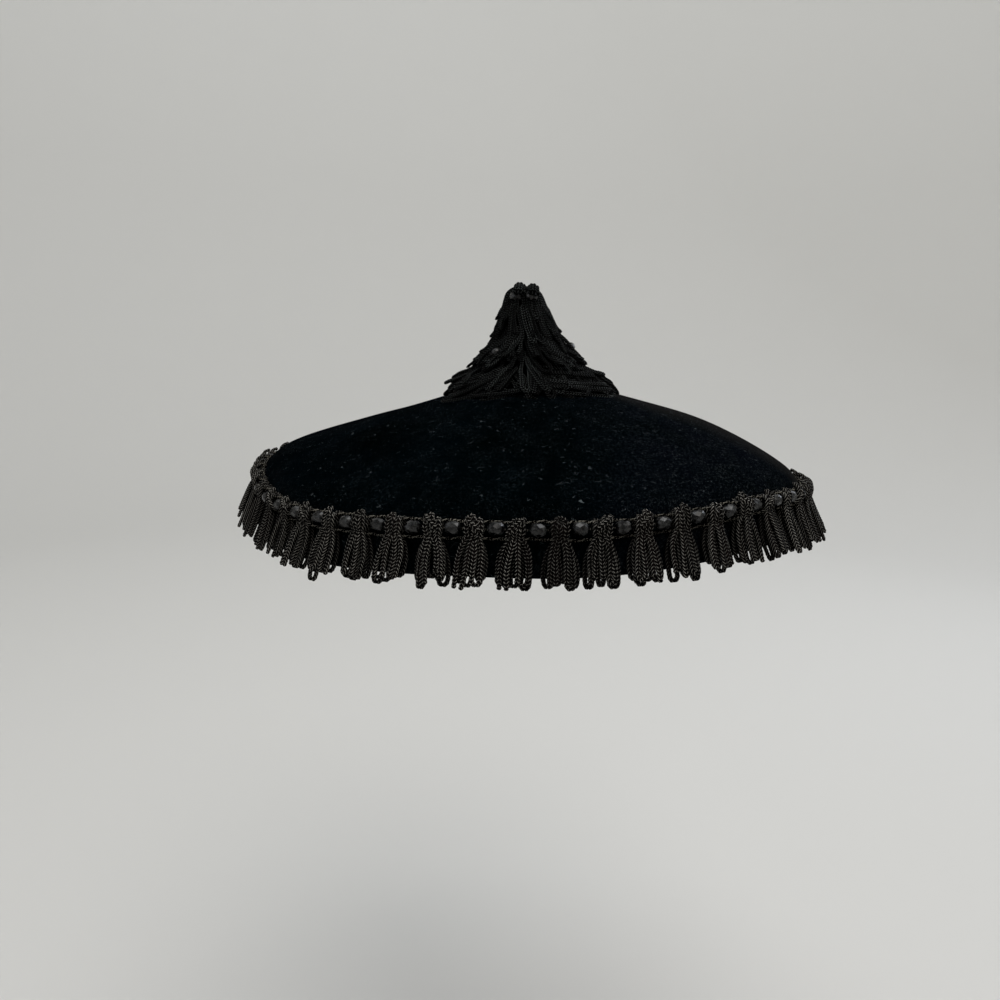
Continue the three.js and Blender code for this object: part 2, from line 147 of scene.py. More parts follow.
class Recipe:
    """A material while it is made: its node tree, and a Principled shader."""

    def __init__(self, name: str) -> None:
        """Starts a material.

        Args:
            name: Its name.
        """
        self.material = bpy.data.materials.new(name)
        self.material.use_nodes = True
        self.tree = self.material.node_tree
        self.tree.nodes.clear()
        self.shader = self.add("BsdfPrincipled")
        self.add("OutputMaterial", {"Surface": self.shader.outputs["BSDF"]})

    def add(self, kind: str, inputs: dict | None = None, **settings) -> Node:
        """Adds a shader node to this tree, as add_node does."""
        return add_node(self.tree, "ShaderNode" + kind, inputs, **settings)

    @cached_property
    def place(self) -> Socket:
        """Where the shaded point is in its piece, in metres."""
        return self.add("TexCoord").outputs["Object"]

    def math(self, operation: str, *values: Socket | float) -> Socket:
        """Adds a sum of one to three values."""
        return self.add("Math", dict(enumerate(values)), operation=operation).outputs[0]

    def noise(self, size_mm: float, detail: float, rough: float = 0.5, stir: float = 0.0) -> Socket:
        """Adds clouds with smaller ones over them.

        Args:
            size_mm: The clouds' size.
            detail: How many layers of smaller ones lie over them.
            rough: How strong those are.
            stir: How far the clouds are swirled.

        Returns:
            Their value, 0 to 1.
        """
        inputs = {"Vector": self.place, "Scale": 1 / (size_mm * MM), "Detail": detail}
        inputs |= {"Roughness": rough, "Distortion": stir}
        return self.add("TexNoise", inputs).outputs["Fac"]

    def remap(self, value: Socket, old: Span, new: Span = (0, 1), smooth: bool = False) -> Socket:
        """Carries one range of a value over to another, and holds it inside that one.

        Args:
            value: The value.
            old: Its range.
            new: The range it is carried over to.
            smooth: Whether it starts and stops gently.

        Returns:
            The new value.
        """
        inputs = {"Value": value, "From Min": old[0], "From Max": old[1]}
        inputs |= {"To Min": new[0], "To Max": new[1]}
        kind = "SMOOTHSTEP" if smooth else "LINEAR"
        return self.add("MapRange", inputs, interpolation_type=kind).outputs[0]

    def mix(self, share: Socket, under: Socket, over: str) -> Socket:
        """Lays a hex colour over another colour by a share."""
        inputs = {0: share, 6: under, 7: linear(over)}
        return self.add("Mix", inputs, data_type="RGBA").outputs[2]

    def ramp(self, value: Socket, *stops: tuple[float, str]) -> Socket:
        """Turns a value to a colour.

        Args:
            value: The value, 0 to 1.
            stops: Values, each with its hex colour.

        Returns:
            The colour.
        """
        made = self.add("ValToRGB", {"Fac": value})
        elements = made.color_ramp.elements
        while len(elements) < len(stops):
            elements.new(0.5)
        for element, (place, colour) in zip(elements, stops):
            element.position = place
            element.color = linear(colour)
        return made.outputs["Color"]

    def bump(self, height: Socket, strength: float, depth_mm: float) -> Socket:
        """Turns a height to a normal."""
        inputs = {"Height": height, "Strength": strength, "Distance": depth_mm * MM}
        return self.add("Bump", inputs).outputs["Normal"]

    def finish(self, inputs: dict) -> Material:
        """Sets the shader's inputs, as fill does, and returns the material."""
        fill(self.tree, self.shader, inputs)
        return self.material


# ---- Finishes ----


@dataclass(frozen=True)
class SilkVelvet:
    """Black silk velvet: cut pile on a woven back, steamed over a stiff shape.

    The pile swallows light face on. A faint cool glow is painted on its right side, where light
    falls, patchy with the pile's lean, and a pale painted sheen runs along its silhouette. Pale lint
    clings to it in specks and short curled fibres, over a haze of dust laid thicker on the lit right
    side, partly as painted light.
    """

    deep: str = "#000101"
    raised: str = "#010508"
    # painted light: the cool glow laid on the right side, where light falls
    painted_glow: str = "#020307"
    # painted sheen: the pale colour of the rim along the silhouette
    tips: str = "#1f1e1b"
    lint: str = "#454b4e"
    sheen: str = "#8a8fa8"
    sheen_weight: float = 0.008
    pile_mm: float = 0.55  # real tufts are 0.2 mm: drawn coarser so that they show
    lean_mm: float = 34.0  # patches where the pile leans one way
    painted_glow_mm: Span = (5.0, 50.0)  # along X, where the painted light on the right side starts and where it is full
    dust_and_painted_glow: float = 0.8  # how much thicker the dust haze lies on the right side: real dust, thickened there as painted light
    painted_rim_mm: Span = (-50.0, 60.0)  # along X, where the painted sheen along the silhouette grows from weak to strong
    # how strong the painted sheen is, at the two ends of that span
    painted_rim_strength: Span = (0.08, 0.85)
    dust_mm: float = 0.55
    dust_cluster_mm: float = 9.0
    lint_spacing_mm: float = 1.9
    fibre_spacing_mm: float = 4.2
    fibre_piece_mm: float = 2.4

    def material(self) -> Material:
        """Makes the node material.

        Returns:
            The material.
        """
        made = Recipe("silk velvet, woven cut pile")
        lean = made.noise(self.lean_mm, 4.0, 0.6)
        pile = made.noise(self.pile_mm, 3.0, 0.7)
        pressed = made.ramp(
            made.math("MULTIPLY", lean, pile), (0.12, self.deep), (0.42, self.raised)
        )
        # painted light: the right side is lightened with a cool glow, patchy with the pile's lean;
        # side and away below mask this painted light
        right = made.add("SeparateXYZ", {0: made.place}).outputs["X"]
        side = made.remap(right, tuple(x * MM for x in self.painted_glow_mm), smooth=True)
        away = made.math("MULTIPLY", side, made.remap(lean, (0.4, 0.62), (0.25, 1.0)))
        with_painted_glow = made.mix(away, pressed, self.painted_glow)
        # painted sheen: a pale rim where the surface turns edge on, stronger towards the right side
        facing = made.add("LayerWeight", {"Blend": 0.5}).outputs["Facing"]
        lit = made.remap(right, tuple(x * MM for x in self.painted_rim_mm), self.painted_rim_strength, smooth=True)
        painted_rim = made.math("MULTIPLY", made.remap(facing, (0.8, 1.0)), lit)
        ground = made.mix(painted_rim, with_painted_glow, self.tips)

        flecks = made.remap(made.noise(self.dust_mm, 2.0, 0.6, 1.4), (0.55, 0.8), (0.0, 0.45))
        cluster = made.remap(made.noise(self.dust_cluster_mm, 3.0, 0.6), (0.4, 0.66), (0.12, 1.0))
        # the dust haze thickens towards the lit right side: real dust, and painted light there
        patches = made.math("MULTIPLY_ADD", side, self.dust_and_painted_glow, cluster)
        haze = made.math("MULTIPLY", flecks, patches)
        inputs = {"Vector": made.place, "Scale": 1 / (self.lint_spacing_mm * MM)}
        speck = made.add("TexVoronoi", inputs).outputs
        near = made.remap(speck["Distance"], (0.09, 0.03))
        specks = made.math("MULTIPLY", near, made.remap(speck["Color"], (0.6, 1.0)))
        curl = made.noise(self.fibre_spacing_mm, 1.0, stir=0.8)
        off_line = made.math("ABSOLUTE", made.math("SUBTRACT", curl, 0.5))
        kept = made.remap(made.noise(self.fibre_piece_mm, 1.0), (0.6, 0.68))
        fibres = made.math("MULTIPLY", made.remap(off_line, (0.008, 0.003)), kept)
        lint = made.math("MAXIMUM", made.math("MAXIMUM", specks, fibres), haze)
        return made.finish(
            {
                "Base Color": made.mix(lint, ground, self.lint),
                "Normal": made.bump(pile, 0.5, 0.25),
                "Roughness": 0.95,
                "Specular IOR Level": 0.0,
                "Sheen Weight": self.sheen_weight,
                "Sheen Roughness": 0.35,
                "Sheen Tint": linear(self.sheen),
            }
        )


@dataclass(frozen=True)
class StiffenedFelt:
    """Black wool felt, pressed and stiffened: the shell's inside, dull and slightly mottled."""

    dark: str = "#0a0a0b"
    light: str = "#1b1b1d"
    fibre_mm: float = 0.7

    def material(self) -> Material:
        """Makes the node material.

        Returns:
            The material.
        """
        made = Recipe("wool felt, pressed and stiffened")
        fibre = made.noise(self.fibre_mm, 5.0, 0.75)
        colour = made.ramp(fibre, (0.3, self.dark), (0.7, self.light))
        normal = made.bump(fibre, 0.4, 0.2)
        return made.finish({"Base Color": colour, "Normal": normal, "Roughness": 0.92})


@dataclass(frozen=True)
class KnittedRayon:
    """Black rayon, warp knitted into a narrow cord: each stitch is a V with a soft lustre.

    The arms of the V's carry painted highlights, pale herringbone ticks, over near-black grooves and
    a middle seam in painted shade, and the dye has faded a little browner here and there.
    """

    name: str = "rayon chainette, knitted"
    painted_groove_shade: str = "#000000"
    body: str = "#050505"
    painted_highlight: str = "#86847e"
    brown: str = "#120c0a"
    arm_advance: float = 1.0  # stitches that an arm climbs from the cord's middle to its side
    lustre: float = 0.05
    fade_mm: float = 16.0

    def material(self) -> Material:
        """Makes the node material, which reads the cord's own stitch map.

        Returns:
            The material.
        """
        made = Recipe(self.name)
        stitches = made.add("UVMap", uv_map=STITCH_MAP).outputs["UV"]
        split = made.add("SeparateXYZ", {0: stitches}).outputs
        mirrored = made.math("PINGPONG", split["X"], 1.0)
        climb = made.math("MULTIPLY_ADD", mirrored, 2 * self.arm_advance, split["Y"])
        wave = made.math("COSINE", made.math("MULTIPLY", climb, FULL_TURN))
        seam = made.remap(mirrored, (0.0, 0.13), (0.25, 1.0))
        relief = made.math("MULTIPLY", made.remap(wave, (-0.9, 1.0)), seam)
        # painted highlight on the stitch arms, painted shade in the grooves and along the middle
        # seam
        colour = made.ramp(relief, (0.4, self.painted_groove_shade), (0.72, self.body), (0.97, self.painted_highlight))
        faded = made.remap(made.noise(self.fade_mm, 3.0), (0.45, 0.75), (0.0, 0.55))
        # the per-point shade scales the colour: painted shade on covered cords, painted light on lit
        # ones, and tone that differs at random
        shade = made.add("Attribute", attribute_name=SHADE).outputs["Fac"]
        browner = {0: made.mix(faded, colour, self.brown), "Scale": shade}
        shaded = made.add("VectorMath", browner, operation="SCALE")
        return made.finish(
            {
                "Base Color": shaded.outputs["Vector"],
                "Normal": made.bump(relief, 1.0, 0.4),
                "Roughness": made.remap(relief, (0.0, 1.0), (1.0, 0.36)),
                "Specular IOR Level": self.lustre,
            }
        )


@dataclass(frozen=True)
class JetGlass:
    """Opaque black glass, pressed and fire polished: dark facets, a few of them flashing white. Grey
    clouds are painted into its colour as painted reflection, for the grey its facets reflect.
    """

    body: str = "#030304"
    # painted reflection: the grey of the clouds in the glass's colour
    painted_reflection: str = "#2a2b2b"
    cloud_mm: float = 1.3
    roughness: Span = (0.12, 0.4)
    index: float = 1.43

    def material(self) -> Material:
        """Makes the node material.

        Returns:
            The material.
        """
        made = Recipe("jet glass, pressed and fire polished")
        cloud = made.noise(self.cloud_mm, 2.0)
        colour = made.ramp(cloud, (0.45, self.body), (0.72, self.painted_reflection))
        rough = made.remap(cloud, (0.0, 1.0), self.roughness)
        return made.finish({"Base Color": colour, "Roughness": rough, "IOR": self.index})


@dataclass(frozen=True)
class MattBoard:
    """Matt white board, painted: the plain pale floor, with no shine."""

    paint: str = "#d4d3d0"

    def material(self) -> Material:
        """Makes the material."""
        made = Recipe("white board, matt painted")
        return made.finish({"Base Color": linear(self.paint), "Roughness": 0.9})


# ---- Meshes ----


@dataclass
class MeshParts:
    """Closed surfaces gathered into one mesh, in millimetres."""

    points: list[Array] = field(default_factory=list)
    faces: list[list[int]] = field(default_factory=list)
    maps: list[Array] = field(default_factory=list)
    shades: list[Array] = field(default_factory=list)
    inks: list[int] = field(default_factory=list)
    count: int = 0

    def add(self, points: Array, faces: list[list[int]], stitch_map: Array | None = None,
            shade: float = 1.0, ink: int | list[int] = 0) -> None:
        """Adds a surface.

        Args:
            points: Its corners, one to a row.
            faces: Corner numbers of each face.
            stitch_map: A map position for each corner of each face, or None for none.
            shade: How light its colour is.
            ink: Which of the piece's materials it takes, for all its faces or for each.
        """
        corners = sum(len(face) for face in faces)
        self.points.append(points)
        self.faces.extend([number + self.count for number in face] for face in faces)
        self.maps.append(np.zeros((corners, 2)) if stitch_map is None else stitch_map)
        self.shades.append(np.full(len(points), shade))
        self.inks.extend(ink if isinstance(ink, list) else [ink] * len(faces))
        self.count += len(points)

    def to_object(self, name: str, *materials: Material, smooth: bool = True) -> Piece:
        """Makes the mesh object, in metres.

        Args:
            name: The object's name.
            materials: Its materials, in the order that "ink" counts them.
            smooth: Whether light runs smoothly over its faces.

        Returns:
            The object, linked to the scene.
        """
        mesh = bpy.data.meshes.new(name)
        mesh.from_pydata((np.vstack(self.points) * MM).tolist(), [], self.faces)
        mesh.shade_smooth() if smooth else mesh.shade_flat()
        layer = mesh.uv_layers.new(name=STITCH_MAP)
        layer.data.foreach_set("uv", np.vstack(self.maps).astype(np.float32).ravel())
        shade = mesh.attributes.new(SHADE, "FLOAT", "POINT")
        shade.data.foreach_set("value", np.concatenate(self.shades).astype(np.float32))
        for material in materials:
            mesh.materials.append(material)
        mesh.polygons.foreach_set("material_index", np.array(self.inks, np.int32))
        made = bpy.data.objects.new(name, mesh)
        bpy.context.scene.collection.objects.link(made)
        return made

    def settle(self, name: str, slot: Slot, node: str, *materials: Material,
               smooth: bool = True) -> None:
        """Makes a piece of the hat, ties it to the hat's body and names what it stands for.

        Args:
            name: The piece's name.
            slot: The record's slot that its finish comes from.
            node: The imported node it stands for.
            materials: Its materials, as in to_object.
            smooth: Whether light runs smoothly over its faces.
        """
        piece = self.to_object(name, *materials, smooth=smooth)
        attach(piece, BODY)
        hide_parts(node)
        triangles = sum(len(face) - 2 for face in self.faces)
        LOG.info("%s: %d triangles for %s", name, triangles, node)


def ring_quads(rings: int, sides: int) -> Array:
    """Joins rings of points by quads.

    Args:
        rings: How many rings.
        sides: How many points a ring has.

    Returns:
        Corner numbers of each quad, ring after ring.
    """
    ring, side = np.meshgrid(np.arange(rings - 1), np.arange(sides), indexing="ij")
    low, high, after = ring * sides, (ring + 1) * sides, (side + 1) % sides
    return np.stack([low + side, high + side, high + after, low + after], axis=-1).reshape(-1, 4)


def ring_caps(rings: int, sides: int) -> Array:
    """Corner numbers of the two faces that close the first and the last ring."""
    first = np.arange(sides)
    return np.stack([first, (rings - 1) * sides + first[::-1]])


def turns_of(sides: int) -> Array:
    """Even turns once round."""
    return np.arange(sides) / sides * FULL_TURN


def scattered_turns(count: int, rng: Rng) -> Iterator[float]:
    """Draws turns one by one, each near its even place."""
    for number in range(count):
        yield (number + rng.uniform(-0.4, 0.4)) / count * FULL_TURN


def eased(share: Array | float) -> Array | float:
    """A share that starts and stops gently."""
    return share**2 * (3 - 2 * share)


def unit(vectors: Array) -> Array:
    """Vectors at length 1, along the last axis."""
    return vectors / np.maximum(np.linalg.norm(vectors, axis=-1, keepdims=True), 1e-9)


def spline(points: Array, steps: int) -> Array:
    """Draws a smooth curve through points.

    Args:
        points: The points, one to a row.
        steps: How many steps lie between two points.

    Returns:
        The curve's points, from the first to the last.
    """
    padded = np.vstack([points[:1], points, points[-1:]])
    ends = (padded[:-3], padded[1:-2], padded[2:-1], padded[3:])
    p0, p1, p2, p3 = (a[:, None, :] for a in ends)
    share = (np.arange(steps) / steps)[None, :, None]
    slope_in, slope_out = (p2 - p0) / 2, (p3 - p1) / 2
    curve = (
        (2 * p1 - 2 * p2 + slope_in + slope_out) * share**3
        + (-3 * p1 + 3 * p2 - 2 * slope_in - slope_out) * share**2
        + slope_in * share
        + p1
    )
    return np.vstack([curve.reshape(-1, points.shape[1]), points[-1:]])


def walk(path: Array, outward: Array, spacing: float) -> tuple[Array, Array, Array]:
    """Walks along a path at even steps.

    Args:
        path: The path's points.
        outward: A direction across it at each point.
        spacing: The length of a step.

    Returns:
        New points, and at each the outward and the sideways direction, square to the path.
    """
    lengths = np.linalg.norm(np.diff(path, axis=0), axis=1)
    reach = np.concatenate([[0], np.cumsum(lengths)])
    count = max(3, int(round(reach[-1] / spacing)) + 1)
    places = np.linspace(0, reach[-1], count)
    columns = np.hstack([path, outward]).T
    both = np.column_stack([np.interp(places, reach, column) for column in columns])
    middle, face = both[:, :3], both[:, 3:]
    along = unit(np.gradient(middle, axis=0))
    face = unit(face - np.sum(face * along, axis=1, keepdims=True) * along)
    return middle, face, np.cross(along, face)


def doubled(course: Array, outward: Array, gap: float, skew: float = 0.0) -> tuple[Array, Array]:
    """Folds a cord back along itself: down one side of a course, round its end, up the other.

    Args:
        course: The points between the two legs.
        outward: For each point, the direction out of the surface it lies on.
        gap: Half the distance between the legs.
        skew: How far one leg stands out over the course, and the other lies under it.

    Returns:
        The cord's middle line, and the outward direction at each of its points.
    """
    along = unit(np.gradient(course, axis=0))
    aside = unit(np.cross(outward, along))
    half = gap * np.minimum(1, 0.6 + np.linspace(0, 1, len(course)))[:, None]
    tip = course[-1:] + along[-1:] * gap * 1.2
    shift = aside * half + outward * skew
    path = np.vstack([course - shift, tip, (course + shift)[::-1]])
    return path, np.vstack([outward, outward[-1:], outward[::-1]])


@dataclass(frozen=True)
class Chainette:
    """A narrow knitted cord, slightly flat, with the relief of its stitches."""

    half_width: float = 0.8
    half_depth: float = 0.64
    stitch: float = 1.12  # real stitches are about 1 mm: drawn a little coarser
    rings_per_stitch: int = 3
    sides: int = 6
    relief: float = 0.12
    arm_advance: float = 1.0
    end_size: float = 0.55  # how thin a cut end is

    def lay(self, parts: MeshParts, path: Array, outward: Array, shade: float,
            ink: int = 0) -> None:
        """Lays a cord along a path.

        Args:
            parts: What the cord is added to.
            path: The points of its middle line.
            outward: For each point, the direction its flat face looks in.
            shade: How light its colour is.
            ink: Which material it takes.
        """
        middle, face, aside = walk(path, outward, self.stitch / self.rings_per_stitch)
        rings = len(middle)
        angles = turns_of(self.sides)
        folded = np.minimum(angles, FULL_TURN - angles) / (math.pi / 2) * self.arm_advance
        stitches = np.arange(rings)[:, None] / self.rings_per_stitch
        swell = 1 + self.relief * np.cos(FULL_TURN * (stitches + folded[None, :]))
        inset = np.minimum(np.arange(rings), rings - 1 - np.arange(rings))
        ends = np.minimum(1, self.end_size + (1 - self.end_size) * inset)
        swell = (swell * ends[:, None])[:, :, None]
        points = (
            middle[:, None, :]
            + face[:, None, :] * (self.half_depth * np.cos(angles))[None, :, None] * swell
            + aside[:, None, :] * (self.half_width * np.sin(angles))[None, :, None] * swell
        ).reshape(-1, 3)
        ring, side = np.meshgrid(np.arange(rings - 1), np.arange(self.sides), indexing="ij")
        around = np.stack([side, side + 1, side + 1, side], axis=-1) * 2 / self.sides
        length = np.stack([ring, ring, ring + 1, ring + 1], axis=-1) / self.rings_per_stitch
        stitch_map = np.stack([around, length], axis=-1).reshape(-1, 2)
        quads = ring_quads(rings, self.sides)[:, [0, 3, 2, 1]]
        caps = ring_caps(rings, self.sides)[:, ::-1]
        both_maps = np.vstack([stitch_map, np.zeros((caps.size, 2))])
        parts.add(points, quads.tolist() + caps.tolist(), both_maps, shade, ink)

    def lay_smooth(self, parts: MeshParts, path: Array, outward: Array, shade: float) -> None:
        """Lays a cord along the smooth curve through a few points, as lay does."""
        curve = spline(np.hstack([path, outward]), 6)
        self.lay(parts, curve[:, :3], curve[:, 3:], shade)


@dataclass(frozen=True)
class TwoPlyCord:
    """A heading cord: two threads twisted round each other."""

    ply: Chainette = Chainette(0.28, 0.28, 1.0, 4, 5, 0.05, 0.5)
    orbit: float = 0.26
    twist_length: float = 1.9

    def lay(self, parts: MeshParts, path: Array, outward: Array, shade: float, ink: int) -> None:
        """Lays the cord along a path.

        Args:
            parts: What the cord is added to.
            path: The points of its middle line.
            outward: For each point, a direction across the path.
            shade: How light its colour is.
            ink: Which material it takes.
        """
        step = self.ply.stitch / self.ply.rings_per_stitch
        middle, face, aside = walk(path, outward, step)
        twist = np.arange(len(middle)) * step / self.twist_length * FULL_TURN
        for start in (0, math.pi):
            turn = (twist + start)[:, None]
            radial = face * np.cos(turn) + aside * np.sin(turn)
            self.ply.lay(parts, middle + radial * self.orbit, radial, shade, ink)


# ---- Velvet body ----


@dataclass(frozen=True)
class HatForm:
    """The shape of the velvet and its gentle warp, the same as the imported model's."""

    wall: float = 2.5
    rim_radius: float = 112.5
    crown_rise: float = 40.5
    band_slope: float = math.radians(17)
    band_top: float = -4.0
    band_drops: tuple[float, ...] = (1.0, 3.0, 6.0, 9.0, 11.5, 13.4)
    crown_lean: float = 3.0
    lean_power: float = 1.5
    rim_twist: float = 4.4
    rim_wave: float = 0.8
    rim_waves: int = 6
    rim_follow_power: float = 3.0
    back_sag: float = 2.2  # how much lower the trimming sits round the back
    crown_rows: Rows = (  # radius, height over the bead line
        (0, 40.5), (15, 38.5), (30, 34.6), (50, 28.9),
        (70, 23.2), (85, 17.9), (98, 12.5), (107, 7.8),
    )

    @property
    def rim_height(self) -> float:
        """Height of the bead line over the origin."""
        return self.wall - self.crown_rise

    @property
    def band_top_radius(self) -> float:
        """Radius where the edge band starts."""
        return self.rim_radius + self.band_top * math.sin(self.band_slope)

    def rim_lift(self, turn: Array) -> Array:
        """Height that the edge gains at a turn."""
        return self.rim_twist * np.sin(2 * turn) - self.rim_wave * np.sin(self.rim_waves * turn)

    def warp(self, x: Array, y: Array) -> Array:
        """Finds the height that the crown gains from its lean and the edge's twist.

        Args:
            x: Where, towards the right side.
            y: Where, towards the back.

        Returns:
            The height there.
        """
        reach = np.minimum(1, np.hypot(x, y) / self.band_top_radius)
        turn = np.arctan2(x, -y)
        lean = self.crown_lean * np.sin(math.pi * reach**self.lean_power) * np.sin(turn)
        return lean + reach**self.rim_follow_power * self.rim_lift(turn)

    def on_band(self, turn: float, drop: Array, off: Array, across: Array) -> Array:
        """Finds points on the edge band.

        Args:
            turn: The turn that "across" is counted from.
            drop: How far below the bead line.
            off: How far out from the velvet.
            across: How far aside.

        Returns:
            One point to a row.
        """
        behind = min(1.0, max(0.0, 0.35 - 2 * math.cos(turn)))  # 0 in front, 1 at the back
        drop = drop + self.back_sag * eased(behind)
        sine, cosine = math.sin(self.band_slope), math.cos(self.band_slope)
        radius = self.rim_radius + drop * sine + off * cosine
        x = radius * math.sin(turn) + across * math.cos(turn)
        y = -radius * math.cos(turn) + across * math.sin(turn)
        lift = self.rim_lift(turn + across / self.rim_radius)
        return np.stack([x, y, self.rim_height + lift - (drop * cosine - off * sine)], axis=-1)

    def band_path(self, turn: float, drop: Array, off: Array, across: Array) -> tuple[Array, Array]:
        """Finds points as on_band does, and the direction out of the band at each."""
        path = self.on_band(turn, drop, off, across)
        return path, np.tile(self.band_outward(turn), (len(path), 1))

    def band_outward(self, turn: float) -> Array:
        """Direction straight out from the edge band."""
        out = math.cos(self.band_slope)
        return np.array([out * math.sin(turn), -out * math.cos(turn), math.sin(self.band_slope)])

    def crown_outline(self, steps: int = 6) -> Array:
        """Draws the velvet's outside from its top to its lower edge.

        Args:
            steps: How many steps the curve takes between two rows.

        Returns:
            Radius and height of each point.
        """
        sine, cosine = math.sin(self.band_slope), math.cos(self.band_slope)
        rows = [*self.crown_rows, (self.band_top_radius, -self.band_top * cosine)]
        drops = np.array(self.band_drops)
        band = np.column_stack([self.rim_radius + drops * sine, -drops * cosine])
        return np.vstack([spline(np.array(rows, float), steps), band])

    def crown_height(self, radius: Array) -> Array:
        """Height of the crown's outside over the bead line, before its warp."""
        return np.interp(radius, *self.crown_outline().T)


@dataclass
class VelvetCrown:
    """The velvet body: a hollow shell with a rolled lower edge."""

    form: HatForm
    segments: int = 288
    edge_steps: int = 6
    unevenness: float = 0.18  # how far the velvet strays from a perfect form
    dimple_length: float = 26.0

    def profile(self) -> tuple[Array, int]:
        """Draws the shell's section, from the top outside round the edge to the top inside.

        Returns:
            Radius and height of each point, and how many of them are velvet.
        """
        outside = self.form.crown_outline()
        along = unit(np.gradient(outside, axis=0))
        inside = outside + np.column_stack([along[:, 1], -along[:, 0]]) * self.form.wall
        inside[0, 0] = 0
        middle = (outside[-1] + inside[-1]) / 2
        down = along[-1] * self.form.wall / 2
        angles = np.linspace(0, math.pi, self.edge_steps + 2)[1:-1, None]
        edge = middle + (outside[-1] - middle) * np.cos(angles) + down * np.sin(angles)
        return np.vstack([outside, edge, inside[::-1]]), len(outside) + self.edge_steps

    def stray(self, x: Array, y: Array) -> Array:
        """Finds the height of the bead line, with the warp and the velvet's unevenness.

        Args:
            x: Where, towards the right side.
            y: Where, towards the back.

        Returns:
            The height there.
        """
        ripple = np.sin(x / self.dimple_length + 1.3) * np.sin(y / self.dimple_length - 0.4)
        ripple = ripple + 0.6 * np.sin(x / 9.0) * np.sin(y / 11.0 + 2.0)
        return self.form.rim_height + self.form.warp(x, y) + self.unevenness * ripple

    def dress(self, velvet: Material, felt: Material) -> None:
        """Makes the piece.

        Args:
            velvet: Material of its outside.
            felt: Material of its inside.
        """
        section, velvet_rows = self.profile()
        rows, turns = section[1:-1], turns_of(self.segments)
        x, y = rows[:, :1] * np.sin(turns), -rows[:, :1] * np.cos(turns)
        shell = np.stack([x, y, rows[:, 1:] + self.stray(x, y)], axis=-1).reshape(-1, 3)
        poles = [[0, 0, end[1] + self.stray(0.0, 0.0)] for end in (section[0], section[-1])]
        quads = ring_quads(len(rows), self.segments).tolist()
        seam = (velvet_rows - 1) * self.segments
        outside, inside = quads[:seam], quads[seam:]
        last = (len(rows) - 1) * self.segments
        for side in range(self.segments):
            after = (side + 1) % self.segments
            outside.append([len(shell), side, after])
            inside.append([len(shell) + 1, last + after, last + side])
        parts = MeshParts()
        inks = [0] * len(outside) + [1] * len(inside)
        parts.add(np.vstack([shell, poles]), outside + inside, ink=inks)
        parts.settle("velvet_crown", Slot.VELVET, "crown_shell", velvet, felt)


# ---- Edge fringe ----


